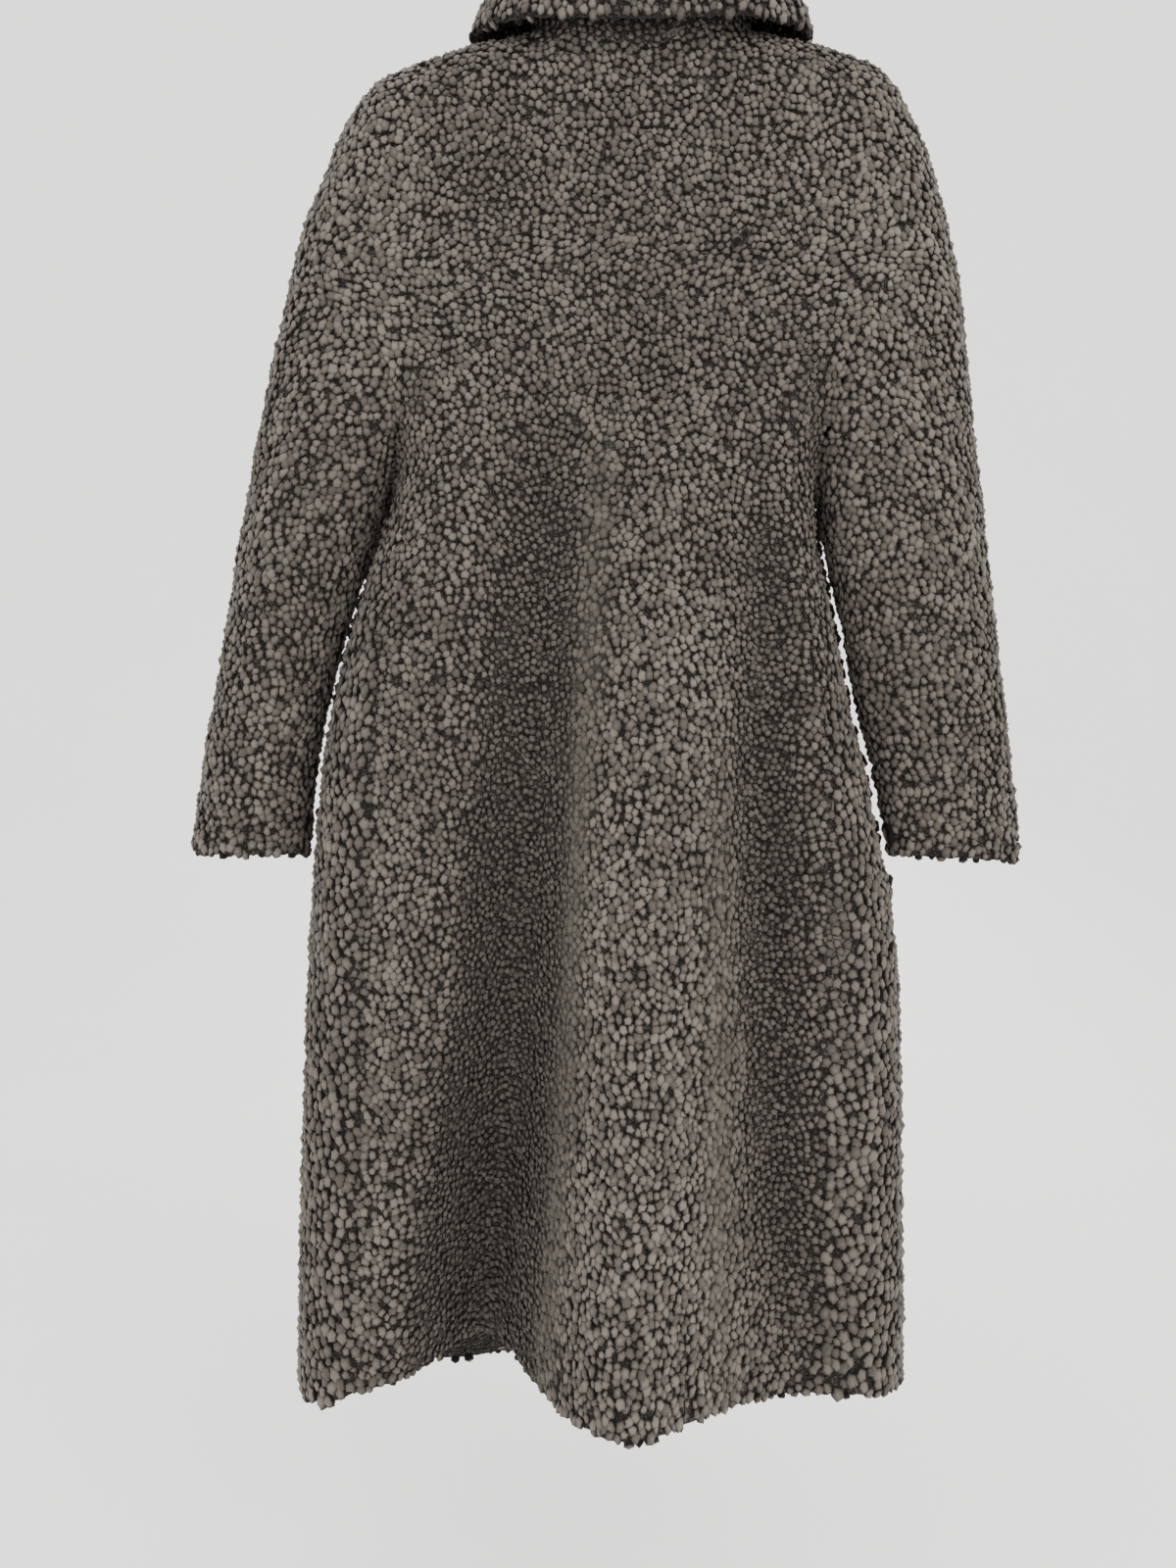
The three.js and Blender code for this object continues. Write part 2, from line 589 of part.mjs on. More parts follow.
// The collar: up from the neckline, over the fold, and down the fall to its edge.
function collarGrid() {
  return necklineSamples().map(({ point, turn, sign }, i, samples) => {
    const before = samples[Math.max(0, i - 1)].point;
    const after = samples[Math.min(samples.length - 1, i + 1)].point;
    const along = after.clone().sub(before);
    const normal = bodyNormal(point).normalize();
    const aside = THREE.MathUtils.degToRad(turn);
    const out = new THREE.Vector3(COLLAR_SQUARENESS * sign * Math.sin(aside), -Math.cos(aside), 0);
    out.normalize();
    const off = along.clone().cross(normal).normalize();
    off.multiplyScalar(Math.sign(off.z - off.dot(out)));
    const read = (column) => between(COLLAR, 'turn', turn, column);
    const edge = new THREE.Vector3(sign * read('x'), read('y'), read('z') + NECK_TILT * sign * read('x'));
    const base = point.clone().addScaledVector(normal, -WALL).addScaledVector(off, SEAM_GAP);
    const foot = point.clone().addScaledVector(out, -WALL - SEAM_GAP);
    foot.z += STAND_FOOT;
    const standTop = foot.clone().setZ(point.z + Math.max(STAND_FOOT + 2, read('stand')));
    const foldMiddle = standTop.clone().addScaledVector(out, COLLAR_FOLD_RADIUS);
    const column = [base];
    for (let k = 0; k < STAND_STEPS; k += 1) {
      column.push(foot.clone().lerp(standTop, k / STAND_STEPS));
    }
    for (let k = 0; k <= FOLD_STEPS; k += 1) {
      const angle = (Math.PI * k) / FOLD_STEPS;
      const rim = foldMiddle.clone().addScaledVector(out, -COLLAR_FOLD_RADIUS * Math.cos(angle));
      rim.z += COLLAR_FOLD_RADIUS * Math.sin(angle);
      column.push(rim);
    }
    const fallTop = column[column.length - 1];
    const bulge = new THREE.Vector3(out.x, out.y, 1).normalize().multiplyScalar(COLLAR_BULGE);
    for (let k = 1; k <= FALL_STEPS; k += 1) {
      const share = k / FALL_STEPS;
      const place = fallTop.clone().lerp(edge, share);
      column.push(place.addScaledVector(bulge, Math.sin(Math.PI * share)));
    }
    return column;
  });
}
grids.collar = { grid: collarGrid() };

function collarNormals() {
  const own = sharedNormals([grids.collar]);
  const necks = necklineSamples();
  return (point, i, j) => (j === 0 ? bodyNormal(necks[i].point).normalize().negate() : own(point));
}

// A bar lofted through rings of the same count, closed at both ends.
function loftGeometry(rings) {
  const positions = [];
  const push = (...points) => points.forEach((p) => positions.push(p.x, p.y, p.z));
  const count = rings[0].length;
  for (let k = 0; k + 1 < rings.length; k += 1) {
    for (let i = 0; i < count; i += 1) {
      const n = (i + 1) % count;
      push(rings[k][i], rings[k][n], rings[k + 1][n]);
      push(rings[k][i], rings[k + 1][n], rings[k + 1][i]);
    }
  }
  const last = rings[rings.length - 1];
  for (let i = 1; i + 1 < count; i += 1) {
    push(rings[0][0], rings[0][i + 1], rings[0][i]);
    push(last[0], last[i], last[i + 1]);
  }
  const geometry = new THREE.BufferGeometry();
  geometry.setAttribute('position', new THREE.Float32BufferAttribute(positions, 3));
  geometry.computeVertexNormals();
  return geometry;
}

// Height of the hanger's top, just under the inside of the shoulders.
function hangerTopZ(x) {
  const out = Math.abs(x);
  if (out < NECK_HALF_WIDTH) {
    return mix(HANGER_NECK_Z + NECK_TILT * x, HANGER_MIDDLE_Z, smooth(1 - out / HANGER_NECK_HALF));
  }
  const { shoulder } = halfAt(x);
  const rise = between(shoulder, 'x', out + SLOPE_STEP, 'z') - between(shoulder, 'x', out, 'z');
  const slope = rise / SLOPE_STEP;
  const under = (WALL + CLOTH_REST) * Math.hypot(1, slope) + CLOTH_REST;
  return Math.min(between(shoulder, 'x', out, 'z') - under, HANGER_NECK_Z + NECK_TILT * x);
}

function hangerGeometry() {
  const rings = [];
  const half = HANGER_THICKNESS / 2;
  for (let k = 0; k <= HANGER_STEPS; k += 1) {
    const x = mix(-HANGER_HALF_LENGTH, HANGER_HALF_LENGTH, k / HANGER_STEPS);
    const out = Math.abs(x) / HANGER_HALF_LENGTH;
    const tip = quarterRound((1 - out) * HANGER_TIP_STEEPNESS + HANGER_TIP_BLUNT);
    const height = mix(HANGER_MIDDLE_HEIGHT, HANGER_TIP_HEIGHT, out) * tip;
    const top = hangerTopZ(x) - ((1 - tip) * HANGER_TIP_HEIGHT) / 2;
    const wide = half * mix(HANGER_TIP_NARROW, 1, tip);
    const ring = HANGER_SECTION.map(({ aside, down }) =>
      new THREE.Vector3(x, aside * wide, top - down * height));
    rings.push(ring.reverse());
  }
  return loftGeometry(rings);
}

function hookGeometry() {
  const radius = HOOK_INNER_RADIUS + HOOK_WIRE / 2;
  const centreZ = -HOOK_INNER_RADIUS;
  const foot = HANGER_MIDDLE_Z + HOOK_SEAT;
  const points = [new THREE.Vector3(0, 0, foot), new THREE.Vector3(0, 0, HOOK_SHANK_TURN_Z)];
  for (const degrees of HOOK_TURNS) {
    const angle = THREE.MathUtils.degToRad(degrees);
    points.push(new THREE.Vector3(radius * Math.cos(angle), 0, centreZ + radius * Math.sin(angle)));
  }
  const path = new THREE.CatmullRomCurve3(points, false, 'centripetal');
  const section = new THREE.Shape();
  section.absarc(0, 0, HOOK_WIRE / 2, 0, 2 * Math.PI);
  return new THREE.ExtrudeGeometry(section, {
    steps: HOOK_STEPS, curveSegments: HOOK_SIDES, bevelEnabled: false, extrudePath: path,
  });
}

const group = new THREE.Group();
function addMesh(name, geometry, look) {
  const mesh = new THREE.Mesh(geometry, new THREE.MeshStandardMaterial(look));
  mesh.name = name;
  group.add(mesh);
}

const panelSeams = {
  back: { seams: ['first', 'last', 'top'] },
  front_left: { seams: ['last', 'top'] },
  front_right: { seams: ['first', 'top'] },
  sleeve_left: { seams: ['top'], closed: true },
  sleeve_right: { seams: ['top'], closed: true },
};
for (const [name, options] of Object.entries(panelSeams)) {
  addMesh(name, wallGeometry(grids[name].grid, bodyNormal, options), fleece);
}
addMesh('collar', wallGeometry(grids.collar.grid, collarNormals()), fleece);
addMesh('hanger_body', hangerGeometry(), wood);
addMesh('hanger_hook', hookGeometry(), steel);

export default group;
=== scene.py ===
# A long coat of curly fleece that hangs by its shoulders on a plain hanger, seen from behind.
# Tables and shape functions are in millimetres, with +Z up and the coat's back towards -Y.
# Left and right are as seen from behind, so left is -X. Every mesh is in metres.
import math

import bpy
import numpy as np
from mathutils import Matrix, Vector
from mathutils.kdtree import KDTree


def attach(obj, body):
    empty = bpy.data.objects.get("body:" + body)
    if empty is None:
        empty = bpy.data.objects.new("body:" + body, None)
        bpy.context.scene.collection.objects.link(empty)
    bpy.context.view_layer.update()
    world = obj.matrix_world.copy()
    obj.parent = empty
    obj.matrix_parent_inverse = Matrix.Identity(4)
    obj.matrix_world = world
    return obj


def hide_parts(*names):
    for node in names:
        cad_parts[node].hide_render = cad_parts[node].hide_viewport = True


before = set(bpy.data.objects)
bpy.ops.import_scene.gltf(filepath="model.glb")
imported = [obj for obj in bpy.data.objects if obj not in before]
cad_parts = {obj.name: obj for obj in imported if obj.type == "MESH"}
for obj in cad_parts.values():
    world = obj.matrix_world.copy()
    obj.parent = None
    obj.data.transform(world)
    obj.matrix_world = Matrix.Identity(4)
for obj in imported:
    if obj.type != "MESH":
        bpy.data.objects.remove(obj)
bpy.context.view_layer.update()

# Camera: the photo was taken from close behind the coat, at the height of its hips
CAMERA_PLACE = (-0.030, -1.040, -0.783)
CAMERA_LENS = 26
CAMERA_SENSOR = 36
CAMERA_ROLL = -1.56

# Sizes of the coat, as in the CAD model
UNDERARM_Z = -512
HEM_Z = -1293
EDGE_ROUND = 60
FOLD_FADE = 45
OUTLINE_SLACK = 0.4
NECK_HALF_WIDTH = 98
NECK_SIDE_Z = -100
NECK_TILT = 0.031
BACK_NECK_DROP = 36
FRONT_NECK_DROP = 95
FRONT_LAP = 20
LAP_FADE = 60
LAP_UNDER = 9.4
WALL = 8
COLLAR_FOLD_RADIUS = 10.5
COLLAR_BULGE = 13
COLLAR_SQUARENESS = 0.8
STAND_FOOT = 3
LEAST_STAND = 2
SEAM_GAP = 0.4
FOOT_LAP = 7
SLEEVE_CAP_SHARE = 0.38

# The pile stands on a root surface under the CAD face, and its curls reach that face
PILE_ROOT = 6.0
NAP_LENGTH = 3.4
EDGE_TUCK = -1.0
CLOTH_OUT = 5.7
CLOTH_IN = 7.8
NAP_STEP = {"back": 4.6, "front": 6.0, "sleeve": 4.6, "collar": 5.0}
CLOTH_STEP = {"back": 10.5, "front": 17, "sleeve": 15, "collar": 12}
# Curls: the least distance between two, and half the width of one in each panel
CURL_SPACING = {"back": 5.25, "front": 7.0, "sleeve": 5.4, "collar": 5.6}
CURL_HALF_WIDTH = {"back": 4.7, "front": 6.1, "sleeve": 4.9, "collar": 4.9}
# How far a curl stands out, how far its points stray, and slow swells of the pile, in metres
CURL_LIFT = 0.0022
CURL_LUMPS = 0.0038
PILE_SWELL = 0.0025


def table(columns, *rows):
    """Rows of numbers under named columns."""
    names = columns.split()
    return {name: np.array([row[i] for row in rows], float) for i, name in enumerate(names)}


def tables(columns, **named):
    """Several tables with the same columns, by name."""
    return {name: table(columns, *rows) for name, rows in named.items()}


# Shoulder line out to the drop shoulder's notch, the body's side and seam by height,
# and the sleeve's outer line, inner line, half depth and middle by share of its length
LEFT = {
    "sign": -1,
    "shoulder": table(
        "x z",
        (98, -103), (158, -119), (227, -147), (245, -159), (261, -180),
        (277, -214), (290, -250), (304, -288), (316, -343),
    ),
    "side": table(
        "z side seam",
        (-343, 316, 316), (-355, 317, 298), (-368, 314, 272), (-386, 300, 243),
        (-420, 266, 219), (-462, 233, 208), (-496, 217, 209), (UNDERARM_Z, 213.5, 213.5),
        (-551, 222, 214.5), (-610, 238, 215), (-679, 256, 215), (-758, 270, 215),
        (-830, 275.5, 215), (-970, 280, 215), (-1150, 281, 215), (-1340, 278, 215),
    ),
    "sleeve": table(
        "t outX outZ inX inZ depth y",
        (0, 316, -343, 213.5, UNDERARM_Z, 62, 0), (0.2, 333, -444, 234, -577, 66, -4),
        (0.4, 347, -546, 251.5, -642, 64, -6), (0.6, 362, -647, 267, -708, 58, -6),
        (0.8, 377, -749, 277, -773, 50, -6), (1, 390, -852, 281, -852, 44, -6),
    ),
}
RIGHT = {
    "sign": 1,
    "shoulder": table(
        "x z",
        (98, -97), (158, -108), (209, -125), (222, -133), (236, -150),
        (253, -181), (266, -208), (280, -254), (295, -310),
    ),
    "side": table(
        "z side seam",
        (-310, 295, 295), (-322, 298, 270), (-334, 296, 238), (-352, 284, 214),
        (-390, 247, 193), (-448, 201, 176), (-490, 177, 170), (UNDERARM_Z, 171, 171),
        (-558, 173.5, 172), (-605, 184, 173), (-652, 194, 174), (-704, 205, 175),
        (-768, 223, 176), (-835, 237, 176), (-870, 247, 176), (-991, 259, 176),
        (-1135, 265, 176), (-1340, 270, 176),
    ),
    "sleeve": table(
        "t outX outZ inX inZ depth y",
        (0, 295, -310, 171, UNDERARM_Z, 62, 0), (0.2, 307, -414, 182, -576, 57, -7),
        (0.4, 320, -519, 196.5, -640, 53, -11), (0.6, 334, -625, 209.5, -704, 48, -12),
        (0.8, 350, -730, 228, -768, 43, -12), (1, 364, -838, 241.5, -838, 38, -12),
    ),
}
DEPTHS = table(
    "z back front",
    (-100, 58, 48), (-340, 66, 58), (-600, 74, 64), (-900, 80, 72), (-1340, 86, 84),
)
# Long folds: at each height the fold's middle, how far it goes in, and its reach each way
BACK_FOLDS = tables(
    "z x depth left right",
    side_ridge=(
        (-430, -128, 0, 45, 40), (-617, -134, -10, 45, 40), (-990, -142, -13, 48, 36),
        (-1160, -168, -9, 45, 36), (-1340, -178, -3, 40, 34),
    ),
    deep_valley=(
        (-410, -76, 0, 50, 40), (-617, -80, 22, 48, 36), (-780, -84, 38, 46, 36),
        (-990, -91, 60, 45, 36), (-1340, -113, 98, 45, 38),
    ),
    middle_ridge=(
        (-410, 22, 0, 60, 80), (-617, 20, -13, 55, 70), (-866, 18, -30, 52, 72),
        (-1100, 14, -52, 54, 78), (-1340, 10, -84, 60, 86),
    ),
    thin_valley=(
        (-450, 112, 0, 30, 30), (-617, 116, 15, 28, 30), (-866, 121, 22, 26, 30),
        (-1120, 136, 20, 26, 32), (-1280, 150, 3, 30, 34),
    ),
)
FRONT_FOLDS = tables(
    "z x depth left right",
    left_trough=(
        (-430, -120, 0, 40, 40), (-800, -135, -14, 44, 38), (-1340, -150, -26, 50, 40),
    ),
    left_swell=(
        (-560, -214, 0, 34, 36), (-900, -222, 7, 32, 38), (-1340, -226, 12, 30, 40),
    ),
    right_trough=(
        (-470, 104, 0, 36, 44), (-840, 118, -13, 36, 44), (-1340, 140, -22, 40, 48),
    ),
)
BACK_HEM = table(
    "x z",
    (-282, -1327), (-241, -1313), (-200, -1297), (-165, HEM_Z),
    (225, -1291), (256, -1299), (271, -1306),
)
FRONT_HEM = table(
    "x z",
    (-282, -1327), (-190, -1335), (-60, -1338), (60, -1336), (190, -1322), (271, -1306),
)
# Flanks of the back's middle ridge where the pile lies flatter and its colour is painted lighter, a
# painted highlight where the flanks catch the light
FLAT_AND_LIT_FLANKS = tables(
    "z x reach share",
    left_flank=(
        (-440, -20, 15, 0), (-540, -28, 14, 0.5), (-700, -36, 12, 0.8),
        (-990, -45, 11, 0.9), (-1200, -53, 11, 0.9), (-1340, -60, 11, 0.6),
    ),
    right_flank=(
        (-700, 84, 14, 0), (-880, 88, 14, 0.6), (-1150, 93, 14, 0.7), (-1290, 98, 14, 0.3),
    ),
)
# Soft creases: middle, slant from level, half length, half width, and depth inwards
CREASES = tables(
    "x z turn length width depth",
    back=(
        (-286, -322, 8, 22, 5, 1.6), (276, -318, -6, 24, 5, 1.7), (-196, -470, 70, 60, 10, 1.5),
        (158, -440, 108, 55, 10, 1.5), (-120, -300, 84, 110, 16, 0.8),
        (150, -255, 96, 90, 14, -0.9),
        (62, -1262, 92, 45, 4, 1.6), (-205, -700, 82, 90, 12, 1.0), (215, -900, 97, 110, 12, -1.1),
    ),
    front_left=(
        (-275, -330, 10, 24, 6, 1.6), (-180, -470, 66, 70, 12, 1.6), (-95, -330, 80, 100, 18, -1.2),
        (-205, -860, 84, 140, 14, 1.5), (-60, -1080, 92, 150, 16, 1.2),
        (-120, -620, 28, 60, 12, 1.0),
    ),
    front_right=(
        (262, -325, -10, 24, 6, 1.6), (150, -460, 112, 70, 12, 1.6), (80, -350, 98, 100, 18, -1.2),
        (190, -900, 96, 150, 14, 1.5), (45, -760, 90, 130, 16, 1.2), (110, -560, 152, 60, 12, 1.0),
    ),
    sleeve_left=(
        (-300, -410, 58, 60, 9, 1.5), (-270, -520, 40, 45, 8, 1.6), (-300, -640, 24, 40, 8, 1.4),
        (-330, -560, 62, 70, 10, -1.2), (-340, -760, 78, 60, 9, 1.1),
    ),
    sleeve_right=(
        (262, -400, 124, 60, 9, 1.5), (230, -520, 140, 45, 8, 1.6), (262, -630, 156, 40, 8, 1.4),
        (296, -560, 118, 70, 10, -1.2), (305, -750, 102, 60, 9, 1.1),
    ),
    collar=(
        (-96, -96, 30, 26, 6, 1.2), (104, -90, 150, 24, 6, 1.2),
    ),
)
COLLAR = table(
    "turn stand x y z",
    (0, 40, 0, -84, -128), (32, 40, 66, -82, -125), (62, 40, 126, -62, -116),
    (90, 38, 158, -6, -101), (116, 36, 152, 54, -136), (142, 28, 122, 82, -190),
    (162, 19, 92, 90, -236), (178, 10, 58, 93, -266),
)


# Small helpers for numbers
def mix(a, b, share):
    return a + (b - a) * share


def smooth(value):
    share = np.clip(value, 0, 1)
    return share * share * (3 - 2 * share)


def quarter_round(share):
    return np.sqrt(1 - (1 - np.clip(share, 0, 1)) ** 2)


def unit(vectors):
    return vectors / np.maximum(np.linalg.norm(vectors, axis=-1, keepdims=True), 1e-9)


def between(rows, along, at, column):
    """Values between a table's rows, on a curve that never overshoots them."""
    xs, ys = rows[along], rows[column]
    if xs[0] > xs[-1]:
        xs, ys = xs[::-1], ys[::-1]
    at = np.clip(np.asarray(at, float), xs[0], xs[-1])
    h = np.diff(xs)
    slope = np.diff(ys) / h
    before, after = slope[:-1], slope[1:]
    total = np.where(before * after > 0, before + after, 1)
    inner = np.where(before * after > 0, 2 * before * after / total, 0)
    tangent = np.concatenate([slope[:1], inner, slope[-1:]])
    i = np.clip(np.searchsorted(xs, at, side="right") - 1, 0, len(h) - 1)
    s = (at - xs[i]) / h[i]
    start = (1 + 2 * s) * (1 - s) ** 2 * ys[i] + s * (1 - s) ** 2 * h[i] * tangent[i]
    end = s * s * (3 - 2 * s) * ys[i + 1] + s * s * (s - 1) * h[i] * tangent[i + 1]
    return start + end


# The coat's outline and the depth of its back and front
def half_outline(half):
    shoulder, side = half["shoulder"], half["side"]
    xs = np.linspace(shoulder["x"][0], shoulder["x"][-1], 70, endpoint=False)
    zs = np.linspace(shoulder["z"][-1], side["z"][-1] - EDGE_ROUND, 111)
    over = np.stack([xs, between(shoulder, "x", xs, "z")], -1)
    down = np.stack([between(side, "z", zs, "side"), zs], -1)
    return np.concatenate([over, down])


LEFT["outline"] = half_outline(LEFT)
RIGHT["outline"] = half_outline(RIGHT)


def inwards_of(x, z):
    """Distance in from the coat's outline, for places of either half."""
    nearest = np.full(x.shape, 1e9)
    for half in (LEFT, RIGHT):
        mine = x < 0 if half is LEFT else x >= 0
        px, pz = np.abs(x[mine]), z[mine]
        best = np.full(px.shape, 1e9)
        outline = half["outline"]
        for (ax, az), (bx, bz) in zip(outline[:-1], outline[1:]):
            ux, uz = bx - ax, bz - az
            share = np.clip(((px - ax) * ux + (pz - az) * uz) / (ux * ux + uz * uz), 0, 1)
            best = np.minimum(best, (px - ax - ux * share) ** 2 + (pz - az - uz * share) ** 2)
        nearest[mine] = np.sqrt(best)
    return np.maximum(0, nearest - OUTLINE_SLACK)


def fold_at(folds, x, z):
    total = np.zeros(x.shape)
    for rows in folds.values():
        away = x - between(rows, "z", z, "x")
        left, right = between(rows, "z", z, "left"), between(rows, "z", z, "right")
        reach = np.where(away < 0, left, right)
        total += between(rows, "z", z, "depth") * np.exp(-((away / reach) ** 2))
    return total


def back_y(x, z):
    inwards = inwards_of(x, z)
    flat = -between(DEPTHS, "z", z, "back") * quarter_round(inwards / EDGE_ROUND)
    return flat + fold_at(BACK_FOLDS, x, z) * smooth(inwards / FOLD_FADE)


def front_y(x, z):
    inwards = inwards_of(x, z)
    flat = between(DEPTHS, "z", z, "front") * quarter_round(inwards / EDGE_ROUND)
    return flat + fold_at(FRONT_FOLDS, x, z) * smooth(inwards / FOLD_FADE)


def top_edge_z(x, neck_drop):
    out = np.abs(x)
    left = between(LEFT["shoulder"], "x", out, "z")
    right = between(RIGHT["shoulder"], "x", out, "z")
    neck = NECK_SIDE_Z + NECK_TILT * x - neck_drop * (1 - (out / NECK_HALF_WIDTH) ** 2)
    return np.where(out >= NECK_HALF_WIDTH, np.where(x < 0, left, right), neck)


def seam_x(half, z):
    return between(half["side"], "z", z, "seam")


ROUND_GIRTH = EDGE_ROUND * math.pi / 2


def in_from_girth(girth):
    rounded = EDGE_ROUND * (1 - np.cos(np.minimum(girth, ROUND_GIRTH) / EDGE_ROUND))
    return np.where(girth < ROUND_GIRTH, rounded, EDGE_ROUND + girth - ROUND_GIRTH)


def girth_from_in(inwards):
    rounded = EDGE_ROUND * np.arccos(1 - np.minimum(inwards, EDGE_ROUND) / EDGE_ROUND)
    return np.where(inwards < EDGE_ROUND, rounded, ROUND_GIRTH + inwards - EDGE_ROUND)


# Surfaces: each takes a share across the panel and a distance down it
def back_surface(share, down):
    z = -down + 0 * share
    x = mix(-seam_x(LEFT, z), seam_x(RIGHT, z), share)
    return np.stack([x, back_y(x, z), z], -1)


def back_top(share):
    x = mix(-LEFT["shoulder"]["x"][-1], RIGHT["shoulder"]["x"][-1], share)
    return -top_edge_z(x, BACK_NECK_DROP)


def back_bottom(share):
    x = mix(-seam_x(LEFT, HEM_Z), seam_x(RIGHT, HEM_Z), share)
    return -between(BACK_HEM, "x", x, "z")


def front_parts(half):
    sign = half["sign"]
    notch_x, notch_z = half["shoulder"]["x"][-1], half["shoulder"]["z"][-1]

    def girth_at(share, z):
        side = between(half["side"], "z", z, "side")
        behind = girth_from_in(np.maximum(side - seam_x(half, z), 0))
        return side, mix(-behind, girth_from_in(side + FRONT_LAP), share)

    def surface(share, down):
        z = -down + 0 * share
        seam = seam_x(half, z)
        round_share = smooth((notch_z - z) / (notch_z - UNDERARM_Z))
        rounded = seam - in_from_girth(girth_from_in(seam + FRONT_LAP) * share)
        upper = mix(mix(seam, -FRONT_LAP, share), rounded, round_share)
        side, girth = girth_at(share, z)
        lower = side - in_from_girth(np.abs(girth))
        is_upper = z > UNDERARM_Z
        x = sign * np.where(is_upper, upper, lower)
        is_behind = (girth < 0) & ~is_upper
        y = np.empty(x.shape)
        y[~is_behind] = front_y(x[~is_behind], z[~is_behind])
        y[is_behind] = back_y(x[is_behind], z[is_behind])
        if half is LEFT:
            y -= LAP_UNDER * smooth((x + FRONT_LAP + LAP_FADE) / LAP_FADE)
        return np.stack([x, y, z], -1)

    def top(share):
        return -top_edge_z(sign * mix(notch_x, -FRONT_LAP, share), FRONT_NECK_DROP)

    def bottom(share):
        side, girth = girth_at(share, HEM_Z + 0 * share)
        x = sign * (side - in_from_girth(np.abs(girth)))
        behind, ahead = between(BACK_HEM, "x", x, "z"), between(FRONT_HEM, "x", x, "z")
        return -np.where(girth < 0, behind, ahead)

    return surface, top, bottom


def sleeve_surface(half):
    """A tube that starts as the armhole's ring, opened along its inner line."""
    z = mix(half["shoulder"]["z"][-1], UNDERARM_Z, np.linspace(0, 1, 300) ** 1.6)
    x = half["sign"] * seam_x(half, z)
    behind = np.stack([x, back_y(x, z), z], -1)
    ahead = np.stack([x, front_y(x, z), z], -1)[::-1]
    ring, angles = [], []
    for k, part in enumerate((behind, ahead)):
        run = np.concatenate([[0], np.cumsum(np.linalg.norm(np.diff(part, axis=0), axis=1))])
        ring.append(part)
        angles.append(math.pi * (k + run / run[-1]))
    ring, angles = np.concatenate(ring), np.concatenate(angles)

    def tube(angle, t):
        read = {name: between(half["sleeve"], "t", t, name) for name in half["sleeve"]}
        share = 0.5 + 0.5 * np.cos(angle)
        x = half["sign"] * mix(read["inX"], read["outX"], share)
        y = read["y"] - np.sin(angle) * read["depth"]
        return np.stack([x, y, mix(read["inZ"], read["outZ"], share)], -1)

    def surface(share, t):
        angle = (math.pi + 2 * math.pi * share) % (2 * math.pi) + 0 * t
        t = t + 0 * share
        seam = np.stack([np.interp(angle, angles, ring[:, k]) for k in range(3)], -1)
        off = seam - tube(angle, 0 * t)
        return tube(angle, t) + off * (1 - smooth(t / SLEEVE_CAP_SHARE))[..., None]

    return surface


# Sampling of the panels before their points are spaced evenly
SAMPLES_ACROSS = 401
SAMPLES_DOWN = 501
CROWDED_TOP = 1.7
LEVELS = 100
OTHER_SIDE = 1e3
SLEEVE_LENGTH = 510
LENGTHWISE = np.array([0, 1, 1.0])
DOWNWARDS = (0, 0, -1)
SLEEVE_AXIS = {"sleeve_left": (-0.148, 0, -0.989), "sleeve_right": (0.143, 0, -0.990)}


def run_along(points, axis):
    steps = np.linalg.norm(np.diff(points, axis=axis), axis=-1)
    start = np.zeros_like(np.take(steps, [0], axis=axis))
    return np.concatenate([start, np.cumsum(steps, axis=axis)], axis=axis)


def even_grid(surface, top, bottom, step, level, axis, anchor=None, flip=False):
    """Points evenly spaced over a panel, and each one's place on the cloth laid flat.

    A place is the way round the panel, across the axis, and the way along it.
    """
    axis = np.array(axis, float)
    fine = np.linspace(0, 1, SAMPLES_ACROSS)
    heights = np.array([0.1, 0.3, 0.5, 0.75, 1.0])
    down = mix(top(fine)[:, None], bottom(fine)[:, None], heights)
    run = run_along(surface(fine[:, None], down), 0).mean(axis=1)
    columns = int(round(run[-1] / step))
    shares = np.interp(np.linspace(0, run[-1], columns + 1), run, fine)[:, None]
    dense = np.linspace(0, 1, SAMPLES_DOWN) ** CROWDED_TOP
    down = mix(top(shares), bottom(shares), dense)
    dense_points = surface(shares, down)
    run = run_along(dense_points, 1)
    rows = int(round(run[:, -1].max() / step))
    even = np.stack([
        np.interp(np.linspace(0, r[-1], rows + 1), r, d) for r, d in zip(run, down)
    ])
    points = surface(shares, even)
    place = np.empty(points.shape[:2] + (2,))
    levels = np.linspace(down.min(), down.max(), LEVELS)
    rings = surface(shares, levels[None, :])
    across = run_along(rings - (rings @ axis)[..., None] * axis, 0)
    for k in range(len(levels)):
        away = across[:, k] if anchor is None else np.abs(rings[:, k, 0] - anchor[0]) \
            + OTHER_SIDE * (rings[:, k, 1] * anchor[1] < 0)
        across[:, k] -= across[columns // 2 if anchor is None else np.argmin(away), k]
    deep = run_along(dense_points * LENGTHWISE, 1)
    for c in range(columns + 1):
        place[c, :, 0] = np.interp(even[c], levels, across[c])
        place[c, :, 1] = np.interp(even[c], down[c], deep[c]) - np.interp(level, down[c], deep[c])
    if axis[0] != 0:
        place[..., 1] = points @ axis
    return (points[::-1], place[::-1]) if flip else (points, place)


